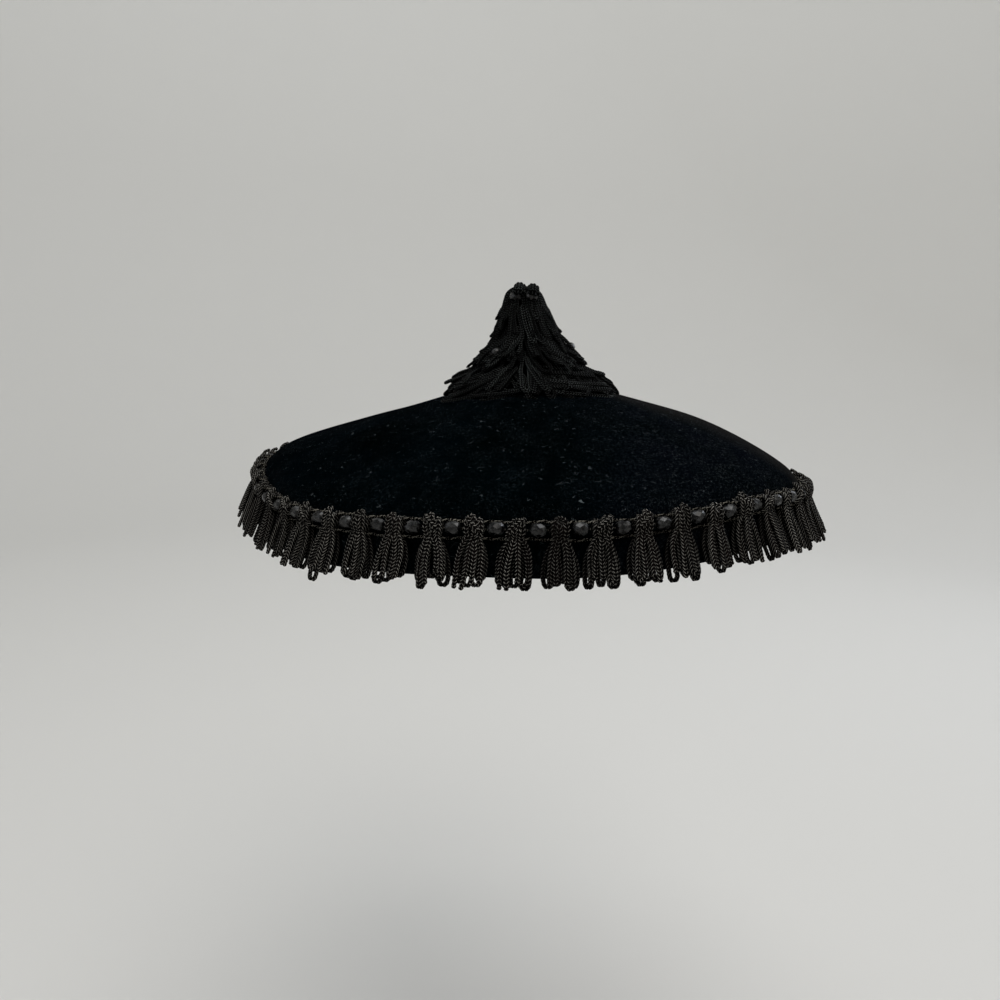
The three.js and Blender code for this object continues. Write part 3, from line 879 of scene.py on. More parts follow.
@dataclass
class EdgeFringe:
    """The beaded tassel fringe round the edge, in lengths of four tassels.

    A cord is drawn in rows of across, drop and off.
    """

    form: HatForm
    cord: Chainette = Chainette()
    hidden_cord: Chainette = Chainette(rings_per_stitch=2)
    heading: TwoPlyCord = TwoPlyCord()
    tassels: int = 56
    per_length: int = 4
    first_turn: float = math.radians(-1.33)
    head_top: float = -3.7  # drop of the highest bend's middle line
    bend_foot: float = 0.6  # drop of a bend's two ends
    bend_bulge: float = 0.5  # how far its sides stand out
    bend_sink: float = 1.3  # how far its top lies back
    pinch: float = 0.78  # how narrow the neck is beside the head
    neck_drop: float = 2.6
    end_drop: float = 17.0
    leg_drops: tuple[float, ...] = (2.6, 3.6, 5.0, 7.0, 10.0, 13.4)
    fold_height: float = 1.1
    front_feet: tuple[float, ...] = (-3.6, -1.3, 1.2, 3.5)  # across, where the front legs end
    front_off: float = 3.7
    fan_rate: float = 3.0  # how soon the legs fan out below the neck
    settle_rate: float = 5.5  # how soon they come to their own depth
    ripple: float = 0.25  # how far they waver on the way
    head_spread: float = 0.1  # how much the front cords differ in their places
    foot_spread: float = 0.6
    end_spread: float = 0.7
    off_spread: float = 0.4
    bow_spread: float = 0.45
    lean: float = 0.7  # how far aside a whole tassel may hang
    upper_drop: float = -1.7  # where the heading cords run
    lower_drop: float = 2.75
    upper_offs: Span = (0.9, 1.9)  # off between the tassels, and how much further out on them
    lower_offs: Span = (0.6, 1.3)
    behind: Rows = (  # across and off of a loop, how light it is: painted shade, darker the further back it lies
        (-2.6, 2.4, 0.75), (2.4, 2.2, 0.75), (-0.1, 1.7, 0.5), (-3.9, 0.9, 0.45), (3.8, 0.8, 0.45)
    )
    wrap_rows: Rows = (  # a short cord that crosses the front of a head
        (-2.4, 2.6, 2.0), (-2.2, 1.3, 4.0), (-1.0, -0.2, 5.0),
        (0.8, -1.6, 4.9), (2.1, -2.7, 3.9), (1.9, -3.1, 2.2),
    )
    paired_share: float = 0.75  # how many heads have their bends beside one another
    folded_share: float = 0.3  # how many pairs of front legs meet in a fold at the foot
    wrapped_share: float = 0.55  # how many heads have a cord across them
    stray_share: float = 0.4  # how many tassels have a cord that hangs out single
    seed: int = 41

    @property
    def pitch(self) -> float:
        """Turn from one tassel to the next."""
        return FULL_TURN / self.tassels

    def turn_of(self, index: float) -> float:
        """Turn of a tassel's middle. The bead after it is half a pitch further on."""
        return self.first_turn + index * self.pitch

    def numbers_in(self, length: int) -> range:
        """Which tassels a length holds."""
        return range(length * self.per_length, (length + 1) * self.per_length)

    def flare(self, turn: float) -> float:
        """How far out a tassel's ends stand, beyond the slope of the band."""
        return 0.3 + 1.0 * abs(math.sin(turn)) + 1.6 * max(0.0, math.sin(turn))

    def leg(self, head: Span, foot: Span, end: float, flare: float, bow: float) -> Array:
        """Draws one hanging leg of a looped cord, from its head to just above its fold.

        Args:
            head: Across and off at the head.
            foot: Across and off at the end.
            end: Drop at the end.
            flare: How far its end stands out further.
            bow: How far aside its middle bulges.

        Returns:
            The leg's rows.
        """
        drops = np.array([*self.leg_drops, end - self.fold_height])
        share = (drops - self.neck_drop) / (end - self.neck_drop)
        fan, settled = (1 - np.exp(-share * rate) for rate in (self.fan_rate, self.settle_rate))
        neck = head[0] * self.pinch
        across = neck + (foot[0] - neck) * fan + bow * np.sin(share * math.pi)
        across = across + self.ripple * math.sin(5 * foot[0]) * np.sin(share * FULL_TURN)
        off = head[1] + (foot[1] - head[1]) * settled + flare * share**1.3
        return np.column_stack([across, drops, off])

    def bend(self, start: float, end: float, top: float, out: float) -> Array:
        """Draws a bend over the heading cords.

        Args:
            start: Across where the cord rises.
            end: Across where it comes down again.
            top: Drop of the bend's top.
            out: Off at its two ends.

        Returns:
            The bend's rows.
        """
        angles = np.linspace(0, math.pi, 9)
        across = (start + end) / 2 - (end - start) / 2 * np.cos(angles)
        drops = self.bend_foot + (top - self.bend_foot) * np.sin(angles) ** 0.9
        off = out + self.bend_bulge * np.sin(2 * angles) ** 2
        off = off - self.bend_sink * np.sin(angles) ** 4
        return np.column_stack([across, drops, off])

    def front_strands(self, rng: Rng, tie: HeadTie, flare: float) -> list[Array]:
        """Draws the cords that show in front: four legs, folded at the foot and bent over the head.

        Args:
            rng: Source of the small differences.
            tie: How their bends sit on the head.
            flare: How far their ends stand out.

        Returns:
            Each cord's rows.
        """
        heads = np.array(tie.value) + rng.normal(0, self.head_spread, 4)
        feet = np.array(self.front_feet) + rng.normal(0, self.foot_spread, 4)
        ends = self.end_drop + np.repeat(rng.normal(0, self.end_spread, 2), 2)
        offs = self.front_off - 0.055 * feet**2 + rng.normal(0, self.off_spread, 4)
        bows = feet * 0.08 + rng.normal(0, self.bow_spread, 4)
        tips = feet.copy()
        for pair in ([0, 1], [2, 3]):
            if rng.random() < self.folded_share:
                tips[pair] = feet[pair].mean()
            else:
                ends[pair] += rng.normal(0, 0.8, 2)
        legs = []
        for head, foot, tip, end, off, bow in zip(heads, feet, tips, ends, offs, bows):
            drawn = self.leg((head, self.front_off - 0.15), (foot, off), end, flare, bow)
            legs.append(np.vstack([drawn, [[tip, end, off + flare]]]))
        high = self.head_top + rng.normal(0, 0.45)
        if tie is HeadTie.NESTED:
            bends = ((0, 3, high, 0.3), (2, 1, high + 1.7, 1.1))
        else:
            bends = ((0, 1, high + rng.uniform(1.0, 2.0), 0.75), (2, 3, high, 0.4))
        return [
            np.vstack(
                [legs[a][::-1], self.bend(heads[a], heads[b], top, self.front_off + out), legs[b]]
            )
            for a, b, top, out in bends
        ]

    def back_strands(self, rng: Rng, flare: float) -> list[tuple[Array, float]]:
        """Draws the loops behind, with their two legs and their bend at the back of the head.

        Args:
            rng: Source of the small differences.
            flare: How far their ends stand out.

        Returns:
            Each cord's rows, and how light it is.
        """
        drawn = []
        for place, out, shade in self.behind:
            middle = place + rng.normal(0, 0.4)
            half = rng.uniform(0.75, 1.35)
            end = self.end_drop + rng.normal(0.0, 1.0)
            off = out + rng.normal(0, 0.2)
            head = (np.clip(middle * 0.45, -1.6, 1.6), out * 0.6 + 0.45)
            one = self.leg(head, (middle - half, off), end, flare, place * 0.12 - 0.3)
            other = self.leg(head, (middle + half, off + 0.1), end, flare, place * 0.12 + 0.3)
            fold = np.array([[middle, end, off + flare]])
            top = self.bend(head[0] - 0.8, head[0] + 0.8, rng.uniform(-2.9, -1.4), head[1])
            drawn.append((np.vstack([fold, one[::-1], top, other, fold]), shade))
        if rng.random() < self.stray_share:
            side = rng.choice([-1, 1])
            end = self.end_drop + rng.uniform(-2.5, 2.6)
            foot = (side * rng.uniform(3.6, 4.7), rng.uniform(0.8, 3.2))
            bow = side * rng.uniform(-0.6, 0.6)
            drawn.append((self.leg((side * 1.5, 2.0), foot, end, flare, bow), 0.7))
        return drawn

    def lay_tassel(self, parts: MeshParts, index: int) -> None:
        """Adds one tassel.

        Args:
            parts: The length of fringe it belongs to.
            index: Which tassel round the hat.
        """
        rng = np.random.default_rng(self.seed + index)
        turn = self.turn_of(index)
        tie = HeadTie.PAIRED if rng.random() < self.paired_share else HeadTie.NESTED
        flare = self.flare(turn) + rng.normal(0, 0.3)
        lean = rng.normal(0, self.lean)
        mirror = -1.0 if rng.random() < 0.5 else 1.0
        front = self.front_strands(rng, tie, flare)
        strands = [(rows, self.cord, rng.uniform(0.65, 1.3)) for rows in front]
        if rng.random() < self.wrapped_share:
            wrap = np.array(self.wrap_rows)
            wrap[:, :2] += rng.normal(0, 0.35, 2)
            strands.append((wrap, self.cord, rng.uniform(0.8, 1.5)))
        # painted shade: the loops behind are drawn darker, by their listed shade and a random share
        for rows, shade in self.back_strands(rng, flare):
            strands.append((rows, self.hidden_cord, shade * rng.uniform(0.5, 1.0)))
        for rows, cord, shade in strands:
            across, drop, off = spline(rows, 8).T
            across = across * mirror + lean * np.clip(drop / self.end_drop, 0, 1)
            cord.lay(parts, *self.form.band_path(turn, drop, off, across), shade)

    def lay_heading(self, parts: MeshParts, index: int) -> None:
        """Adds the two heading cords from one tassel to the next.

        The upper one arches over the bead. The lower one runs under it and binds the necks.

        Args:
            parts: The length of fringe they belong to.
            index: Which tassel they start from.
        """
        rng = np.random.default_rng(self.seed * 7 + index)
        turn = self.turn_of(index + 0.5)
        share = np.linspace(-1, 1, 25)
        across = share * self.pitch * self.form.rim_radius / 2
        arch = np.cos(share * math.pi / 2)
        on_neck = eased(np.clip((np.abs(share) - 0.4) / 0.25, 0, 1))
        wander = rng.normal(0, 0.12) * np.sin(share * 5)
        upper = self.upper_drop - rng.uniform(0.5, 1.1) * arch + wander
        lower = self.lower_drop + rng.uniform(-0.1, 0.5) * arch - wander
        for drop, (between, rise) in ((upper, self.upper_offs), (lower, self.lower_offs)):
            path = self.form.band_path(turn, drop, between + rise * on_neck, across)
            self.heading.lay(parts, *path, shade=rng.uniform(0.8, 1.3), ink=1)

    def dress(self, rayon: Material, thread: Material) -> None:
        """Makes every length as a piece of its own.

        Args:
            rayon: Material of the tassels.
            thread: Material of the heading.
        """
        for length in range(self.tassels // self.per_length):
            parts = MeshParts()
            for index in self.numbers_in(length):
                self.lay_tassel(parts, index)
                self.lay_heading(parts, index)
            name = f"{length + 1:02d}"
            parts.settle(f"fringe_length_{name}", Slot.CORD, f"fringe_{name}", rayon, thread)


# ---- Beads ----


@dataclass(frozen=True)
class JetBead:
    """A fire-polished bead: rows of facets round a hole."""

    half_length: float = 2.45
    half_width: float = 2.1
    facets: int = 7
    rows: Rows = (  # along, share of the full size, facet offset
        (-1.0, 0.46, 0.0), (-0.76, 0.83, 0.5), (-0.25, 1.0, 0.0),
        (0.25, 1.0, 0.5), (0.76, 0.83, 0.0), (1.0, 0.46, 0.5),
    )

    def lay(self, parts: MeshParts, centre: Array, hole: Array, outward: Array,
            roll: float) -> None:
        """Adds a bead.

        Args:
            parts: What it is added to.
            centre: Its middle.
            hole: Direction of its hole.
            outward: Direction it faces.
            roll: How far it is rolled round its hole.
        """
        hole = unit(hole)
        outward = unit(outward - hole * float(hole @ outward))
        upward = np.cross(hole, outward)
        rings = []
        for along, share, offset in self.rows:
            angles = (np.arange(self.facets) + offset) / self.facets * FULL_TURN + roll
            radial = np.outer(np.cos(angles), outward) + np.outer(np.sin(angles), upward)
            middle = centre + hole * along * self.half_length
            rings.append(middle + radial * self.half_width * share)
        faces = []
        for row, quad in enumerate(ring_quads(len(self.rows), self.facets).tolist()):
            low, high, high_after, low_after = quad
            ring = row // self.facets
            if self.rows[ring][2] < self.rows[ring + 1][2]:
                faces += [[low, low_after, high], [low_after, high_after, high]]
            else:
                faces += [[low, high_after, high], [low, low_after, high_after]]
        caps = ring_caps(len(self.rows), self.facets)[:, ::-1]
        parts.add(np.vstack(rings), faces + caps.tolist())


@dataclass
class BeadStrings:
    """The beads between the edge tassels, joined along their thread."""

    fringe: EdgeFringe
    bead: JetBead = JetBead()
    bead_off: float = 2.5
    thread_off: float = 0.75
    thread: Chainette = Chainette(0.26, 0.26, 0.9, rings_per_stitch=1, relief=0.0)
    seed: int = 97

    def build(self, length: int) -> MeshParts:
        """Makes one string: its beads, and the thread that runs behind the tassel heads.

        Args:
            length: Which length of fringe it runs along.

        Returns:
            The string's surfaces.
        """
        form, parts = self.fringe.form, MeshParts()
        rng = np.random.default_rng(self.seed + length)
        share = np.linspace(-1, 1, 17)
        inside = np.clip((1 - np.abs(share)) * 2.4 - 0.75, 0, 1)
        offs = self.thread_off + (self.bead_off - self.thread_off) * inside
        across = share * (self.fringe.pitch * form.rim_radius / 2)
        for index in self.fringe.numbers_in(length):
            turn = self.fringe.turn_of(index + 0.5)
            ends = form.on_band(turn, 0.0, self.bead_off, np.array([-1.0, 1.0]))
            drop, off = rng.normal(0.0, 0.16), self.bead_off + rng.normal(0, 0.1)
            centre = form.on_band(turn, drop, off, rng.normal(0, 0.15))
            hole = unit(ends[1] - ends[0]) + rng.normal(0, 0.13, 3)
            outward = form.band_outward(turn)
            self.bead.lay(parts, centre, hole, outward, roll=rng.uniform(0, FULL_TURN))
            path = form.band_path(turn, 0.0, offs, across)
            self.thread.lay(parts, *path, shade=1.0, ink=1)
        return parts

    def dress(self, jet: Material, thread: Material) -> None:
        """Makes every string as a piece of its own.

        Args:
            jet: Material of the beads.
            thread: Material of the thread.
        """
        for length in range(self.fringe.tassels // self.fringe.per_length):
            name = f"{length + 1:02d}"
            self.build(length).settle(
                f"jet_beads_{name}", Slot.JET, f"bead_string_{name}", jet, thread, smooth=False
            )


# ---- Top tassel ----


@dataclass(frozen=True)
class Tier:
    """One layer of looped cords that hang straight down a skirt of the top tassel."""

    cords: int
    start: float  # distance down the skirt's surface where the cords come out
    end: float  # distance down it where they end
    ragged: float  # how unevenly they end
    sink: float  # how far their middle lines lie under the surface
    sway: float = 0.06  # how far they wander aside, in radians
    curl: float = 0.8  # how far their ends lift off
    hidden: bool = False  # whether another layer covers them


@dataclass(frozen=True)
class Lock:
    """A lock of looped cords combed aside over a skirt, its rows stacked down the skirt."""

    rows: int
    turns: Span  # degrees where its first row starts and folds
    reach: Span  # distances down the skirt where it starts and folds
    row_gap: float = 3.0
    turn_step: Span = (2.0, 0.0)  # degrees that each row starts and folds further round
    sink: float = -0.1
    lift: float = 0.4  # how far its folds stand off


@dataclass(frozen=True)
class Skirt:
    """One of the tassel's three skirts: its outside, and the layers of cord that make it."""

    name: str
    node: str
    rows: Rows  # radius and lift down its outside
    tiers: tuple[Tier, ...]
    locks: tuple[Lock, ...] = ()
    strays: int = 10  # single cords that stand out at its foot
    depth: float = 1.0  # share of its size that is kept front to back
    side_trim: float = 0.0  # how much shorter it hangs at the left and right


SKIRTS = (
    Skirt(
        "tassel_lower_skirt",
        "top_skirt_lower",
        ((8, 58), (14, 52.5), (21, 46), (28.5, 42), (34.5, 37.6), (36.8, 34.8)),
        (
            Tier(92, start=12, end=38.6, ragged=1.1, sink=1.5, curl=0.3, hidden=True),
            Tier(64, start=10, end=36.0, ragged=2.8, sink=0.7, sway=0.12),
            Tier(40, start=8, end=30.0, ragged=3.8, sink=0.0, sway=0.15),
        ),
        (
            Lock(6, turns=(4, 62), reach=(19, 24)),
            Lock(5, turns=(-10, -54), reach=(14, 33), row_gap=2.6, turn_step=(-2.0, 0.0)),
            Lock(6, turns=(-17, -24), reach=(12, 33), row_gap=0.3, turn_step=(6.0, 8.5), sink=-0.6),
            Lock(2, turns=(-10, -36), reach=(34.8, 37.4), row_gap=2.0, turn_step=(-4.0, 0.0)),
            Lock(3, turns=(164, 138), reach=(16, 31), turn_step=(-9.0, -12.0)),
            Lock(3, turns=(194, 222), reach=(15, 32), row_gap=2.0, turn_step=(10.0, 9.0)),
            Lock(2, turns=(-66, -88), reach=(16, 30), sink=-0.4, lift=1.6),
            Lock(1, turns=(-80, -94), reach=(12, 23), lift=1.2),
            Lock(1, turns=(78, 88), reach=(18, 27), lift=1.0),
            Lock(1, turns=(84, 94), reach=(24, 35), lift=1.3),
        ),
        depth=0.88,
        side_trim=2.4,
    ),
    Skirt(
        "tassel_middle_skirt",
        "top_skirt_middle",
        ((5.5, 66), (11, 62), (14.5, 57.5), (19, 51.6), (24.8, 47)),
        (
            Tier(56, start=2, end=26.0, ragged=2.4, sink=1.2, hidden=True),
            Tier(40, start=2, end=23.5, ragged=4.2, sink=0.3, sway=0.1),
        ),
        (
            Lock(3, turns=(-8, -42), reach=(8, 22), row_gap=2.8, turn_step=(-9.0, 0.0)),
            Lock(3, turns=(10, 46), reach=(8, 23), row_gap=2.8, turn_step=(9.0, 0.0)),
            Lock(1, turns=(-34, -54), reach=(12, 26), sink=-2.5),
            Lock(1, turns=(62, 76), reach=(8, 23), sink=-2.0),
        ),
    ),
    Skirt(
        "tassel_upper_skirt",
        "top_skirt_upper",
        ((6, 71.1), (9.8, 70.1), (11.8, 66.5), (13.4, 62), (15.4, 57.8)),
        (
            Tier(36, start=0.5, end=17.5, ragged=1.8, sink=1.1, hidden=True),
            Tier(26, start=0.5, end=16.5, ragged=4.4, sink=0.2),
        ),
    ),
)


@dataclass
class TopTassel:
    """The tassel on the hat's top, rolled from the same fringe.

    A cord's course is its turn, its distance down the skirt and its sink under the skirt's surface.
    """

    form: HatForm
    cord: Chainette = Chainette(rings_per_stitch=2)
    hidden_cord: Chainette = Chainette(rings_per_stitch=1, sides=5)
    half_gap: float = 1.2
    looped_share: float = 0.2  # how many cords come back as a loop
    shade: float = 0.17  # how light the cords are, in the shade of one another
    # painted shade: how light the covered cords are
    hidden_shade: float = 0.35
    # painted light: the combed locks on top are drawn lighter
    lock_painted_light: float = 1.3
    # how much the cords' lightness differs from one to the next: partly tone, partly painted light
    # on cords that catch it
    shade_spread: float = 0.62
    tilt: float = -0.12
    offset: float = -1.3
    core_sink: float = 2.4
    core_sides: int = 40
    bunches: int = 13
    bunch_depth: float = 0.03
    drift: float = 0.2  # how far whole bunches lean aside, in radians
    waver: float = 0.09
    bow: float = 0.07  # how far a cord's middle strays aside, in radians
    sink_spread: float = 0.3
    probe: float = 1.5  # how far before and after a point the skirt's slope is taken
    clearance: float = 0.25  # between the lowest cords and the velvet
    seed: int = 7

    def place(self, turn: Array, radius: Array, lift: Array, depth: Array | float = 1.0) -> Array:
        """Finds points of the tassel.

        Args:
            turn: Turns round the tassel's own axis.
            radius: Distances from that axis.
            lift: Heights over the bead line.
            depth: Share of the radius that is kept front to back.

        Returns:
            One point to a row.
        """
        x = self.offset + self.tilt * (lift - self.form.crown_rise) + radius * np.sin(turn)
        y = -radius * np.cos(turn) * depth
        return np.stack([x, y, lift + self.form.rim_height + self.form.warp(x, y)], axis=-1)

    def surface(self, skirt: Skirt, turn: Array, reach: Array, sink: Array) -> tuple[Array, Array]:
        """Finds where a course runs on a skirt.

        Args:
            skirt: The skirt.
            turn: Turn of each of its points.
            reach: Distance of each down the skirt.
            sink: How far each lies under the surface.

        Returns:
            The points, and the direction out of the skirt at each.
        """
        rows = np.array(skirt.rows, float)
        steps = np.linalg.norm(np.diff(rows, axis=0), axis=1)
        along = np.concatenate([[0], np.cumsum(steps)])
        slope = (rows[-1] - rows[-2]) / steps[-1]
        past = np.maximum(reach - along[-1], 0)[:, None] * slope
        spot, ahead, behind = (
            np.column_stack([np.interp(reach + shift, along, column) for column in rows.T])
            for shift in (0, self.probe, -self.probe)
        )
        course = unit(ahead - behind + slope * 0.01)
        normal = np.column_stack([-course[:, 1], course[:, 0]])
        normal = normal * np.sign(normal[:, 1] + 1e-6)[:, None]
        spot = spot + past - normal * (sink + self.cord.half_depth)[:, None]
        radius = spot[:, 0] * (1 + self.bunch_depth * np.cos(self.bunches * turn))
        floor = self.form.crown_height(radius) + self.cord.half_depth + self.clearance
        depth = 1 + (skirt.depth - 1) * np.clip(reach / along[-1], 0, 1)
        points = self.place(turn, radius, np.maximum(spot[:, 1], floor), depth)
        out, up = normal.T
        return points, np.column_stack([out * np.sin(turn), -out * np.cos(turn), up])

    def lay_cord(self, parts: MeshParts, skirt: Skirt, course: Course, rng: Rng,
                 looped: bool = False, shade: float = 1.0, hidden: bool = False) -> None:
        """Adds one cord.

        Args:
            parts: What it is added to.
            skirt: The skirt it lies on.
            course: Its course.
            rng: Source of the small differences.
            looped: Whether it comes back beside itself.
            shade: How light it is, next to the other cords.
            hidden: Whether other cords cover it.
        """
        points, outward = self.surface(skirt, *course)
        if looped:
            gap = self.half_gap * rng.uniform(0.75, 1.35)
            points, outward = doubled(points, outward, gap, skew=rng.normal(0, 0.35))
        shade = self.shade * shade * math.exp(rng.normal(0, self.shade_spread))
        (self.hidden_cord if hidden else self.cord).lay_smooth(parts, points, outward, shade)

    def lay_tier(self, parts: MeshParts, skirt: Skirt, tier: Tier, rng: Rng) -> None:
        """Adds a layer of hanging cords.

        Args:
            parts: What it is added to.
            skirt: The skirt it belongs to.
            tier: The layer.
            rng: Source of the small differences.
        """
        share = np.linspace(0, 1, 9)
        # painted shade: covered layers are drawn darker
        shade = self.hidden_shade if tier.hidden else 1.0
        for turn in scattered_turns(tier.cords, rng):
            end = tier.end + rng.normal(0, tier.ragged) - skirt.side_trim * math.sin(turn) ** 6
            aside = rng.normal(0, tier.sway) * share**1.4
            aside += rng.normal(0, self.bow) * np.sin(share * math.pi)
            aside += self.drift * math.sin(3 * turn + 1.0) * share**1.3
            aside += self.waver * math.sin(5 * turn) * np.sin(share * 6)
            sink = tier.sink + rng.normal(0, self.sink_spread)
            sink = sink - abs(rng.normal(0, tier.curl)) * share**4
            course = (turn + aside, tier.start + (end - tier.start) * share, sink)
            looped = rng.random() < self.looped_share
            self.lay_cord(parts, skirt, course, rng, looped, shade, tier.hidden)

    def lay_strays(self, parts: MeshParts, skirt: Skirt, rng: Rng) -> None:
        """Adds the single cords that stand out at a skirt's foot.

        Args:
            parts: What they are added to.
            skirt: The skirt.
            rng: Source of the small differences.
        """
        share = np.linspace(0, 1, 9)
        tier = skirt.tiers[-1]
        for place in scattered_turns(skirt.strays, rng):
            turn = place + rng.normal(0, 0.16) * share**2
            length = skirt.tiers[0].end + rng.uniform(-3.0, 1.6) - tier.start
            sink = tier.sink - rng.uniform(0.2, 1.6) * share**6
            self.lay_cord(parts, skirt, (turn, tier.start + length * share, sink), rng)

    def lay_lock(self, parts: MeshParts, skirt: Skirt, lock: Lock, rng: Rng) -> None:
        """Adds a lock combed aside.

        Args:
            parts: What it is added to.
            skirt: The skirt it belongs to.
            lock: The lock.
            rng: Source of the small differences.
        """
        share = np.linspace(0, 1, 11)
        middle = np.sin(share * math.pi)
        for row in range(lock.rows):
            start, end = (
                math.radians(angle + step * row) + rng.normal(0, spread)
                for angle, step, spread in zip(lock.turns, lock.turn_step, (0.04, 0.09))
            )
            low, high = (reach + lock.row_gap * row for reach in lock.reach)
            reach = low + (high - low) * share**0.8 + rng.normal(0, 0.5) * middle
            sink = lock.sink * middle + rng.normal(0, 0.2)
            sink -= lock.lift * rng.uniform(0.6, 1.4) * share**3
            course = (start + (end - start) * share**0.9, reach, sink)
            self.lay_cord(parts, skirt, course, rng, looped=True, shade=self.lock_painted_light)

    def lay_core(self, parts: MeshParts, rows: Array, sides: int, depth: float = 1.0) -> None:
        """Adds the mass of cords under the ones that show, as one closed surface in the near-black
        core material: painted shade.

        Args:
            parts: What it is added to.
            rows: Radius and lift of its rings, from the top down.
            sides: How many points a ring has.
            depth: Share of the last ring that is kept front to back.
        """
        depths = 1 + (depth - 1) * np.linspace(0, 1, len(rows))
        rings = [self.place(turns_of(sides), *row, kept) for row, kept in zip(rows, depths)]
        faces = [*ring_quads(len(rows), sides).tolist(), *ring_caps(len(rows), sides).tolist()]
        parts.add(np.vstack(rings), faces, ink=1)

    def build(self, skirt: Skirt) -> MeshParts:
        """Makes one skirt: its core, its layers, its locks and its strays.

        Args:
            skirt: The skirt.

        Returns:
            The skirt's surfaces.
        """
        parts = MeshParts()
        # Makes a piece of the hat, ties it to the hat's body, hides the imported node it stands for
        # and logs its triangles.
        rng = np.random.default_rng(self.seed + len(skirt.rows) * 10 + len(skirt.tiers))
        rows = np.array(skirt.rows, float)
        rows = np.vstack([spline(rows, 3), [[rows[-1, 0] * 0.6, rows[-1, 1] - 0.2]]])
        radius, lift = rows.T - self.core_sink
        # slot: Not used. The slot that its finish would come from.
        radius = np.maximum(radius, 0.8)
        lift = np.maximum(lift, self.form.crown_height(radius) + 0.3)
        self.lay_core(parts, np.column_stack([radius, lift]), self.core_sides, skirt.depth)
        for tier in skirt.tiers:
            self.lay_tier(parts, skirt, tier, rng)
        for lock in skirt.locks:
            self.lay_lock(parts, skirt, lock, rng)
        self.lay_strays(parts, skirt, rng)
        return parts

    def dress(self, rayon: Material, painted_shade: Material) -> None:
        """Makes the three skirts."""
        for skirt in SKIRTS:
            self.build(skirt).settle(skirt.name, Slot.CORD, skirt.node, rayon, painted_shade)


@dataclass
class TipKnot:
    """The knot at the tassel's tip: cords drawn down over a round head, and two lobes."""

    tassel: TopTassel
    rows: Rows = (  # radius and lift from the tip down
        (1.0, 77.8), (4.6, 77.3), (7.2, 75.6), (8.4, 73.3), (9.6, 70.0), (11.2, 66.9)
    )
    core_sides: int = 24
    loops: int = 18
    bead_half_turn: float = 0.2  # how near to a bead a loop gives way to it
    bead_row: int = 3  # the row that lies behind the beads
    lobe_rows: Rows = (  # forward and lift, over the tip and down
        (-2.5, 76.0), (0.0, 78.0), (3.0, 79.0), (6.4, 78.5),
        (9.0, 77.4), (10.3, 76.2), (9.8, 75.2), (8.0, 75.3),
    )
    lobe_cords: int = 4
    lobe_spacing: float = 1.15
    lobe_apart: float = 2.6
    lobe_shift: float = 1.2
    lobe_drop: float = 0.5  # how much lower the right one sits
    lobe_droop: float = 0.4  # how much lower its outer cords lie
    lobe_splay: float = 0.6  # how far it leans aside
    lobe_painted_light: Span = (1.7, 0.5)  # painted light: how light it is, and how much the left one is lighter
    seed: int = 19

    def lay_loop(self, parts: MeshParts, turn: float, rows: Rows, rng: Rng) -> None:
        """Adds a loop that falls from the tip.

        Args:
            parts: What it is added to.
            turn: Where it falls.
            rows: The rows of the knot that it runs over.
            rng: Source of the small differences.
        """
        rows = np.array(rows, float)
        rows[-1] += (rows[-1] - rows[-2]) * rng.uniform(-0.5, 0.5)
        share = np.linspace(0, 1, len(rows))
        course = turn + rng.normal(0, 0.05) + rng.normal(0, 0.12) * share
        centre = self.tassel.place(course, rows[:, 0] - 0.5, rows[:, 1] - 0.3)
        outward = unit(np.column_stack([np.sin(course), -np.cos(course), 1.2 - share]))
        path, faces = doubled(centre, outward, self.tassel.half_gap * rng.uniform(0.75, 1.1))
        self.tassel.cord.lay_smooth(parts, path, faces, self.tassel.shade * rng.uniform(0.7, 1.6))

    def lay_lobe(self, parts: MeshParts, side: int, rng: Rng) -> None:
        """Adds one of the two small lobes at the very tip: cords that fold over a bead.

        Args:
            parts: What it is added to.
            side: -1 for the left one, 1 for the right one.
            rng: Source of the small differences.
        """
        rows = np.array(self.lobe_rows)
        tip = self.tassel.place(0.0, 0.0, rows[0, 1])
        slope = unit(np.gradient(rows, axis=0))
        share = np.linspace(0, 1, len(rows))
        for number in range(self.lobe_cords):
            place = number - (self.lobe_cords - 1) / 2
            across = self.lobe_shift + side * self.lobe_apart + place * self.lobe_spacing
            droop = self.lobe_droop * place**2 + rng.normal(0, 0.08) + self.lobe_drop * (side > 0)
            forward = rows[:, 0] * (1 - 0.05 * place**2) + rng.normal(0, 0.15)
            aside = across + (side * self.lobe_splay + rng.normal(0, 0.3)) * share
            rise = rows[:, 1] - rows[0, 1] - droop * (1 - 0.6 * share)
            path = tip + np.column_stack([aside, -forward, rise])
            facing = np.column_stack([np.full(len(rows), 0.3 * place), slope[:, 1], slope[:, 0]])
            shade = self.tassel.shade * (self.lobe_painted_light[0] - self.lobe_painted_light[1] * side)
            shade = shade * rng.uniform(0.7, 1.3)
            self.tassel.cord.lay_smooth(parts, path, facing, shade)

    def dress(self, rayon: Material, painted_shade: Material) -> None:
        """Makes the knot as a piece.

        Args:
            rayon: Material of the cords that show.
            painted_shade: Material of the core.
        """
        parts = MeshParts()
        rng = np.random.default_rng(self.seed)
        radius, lift = spline(np.array(self.rows), 3).T
        core = np.column_stack([np.maximum(radius - 1.4, 0.6), lift - 0.9])
        self.tassel.lay_core(parts, core, self.core_sides)
        for number in range(self.loops):
            turn = number / self.loops * FULL_TURN
            away = turn - np.radians(TIP_BEAD_TURNS) + math.pi
            if np.min(np.abs(away % FULL_TURN - math.pi)) > self.bead_half_turn:
                self.lay_loop(parts, turn, self.rows, rng)
            else:
                self.lay_loop(parts, turn, self.rows[: self.bead_row], rng)
                self.lay_loop(parts, turn, self.rows[self.bead_row :], rng)
        for side in (-1, 1):
            self.lay_lobe(parts, side, rng)
        parts.settle("tassel_tip_knot", Slot.CORD, "top_tip_knot", rayon, painted_shade)


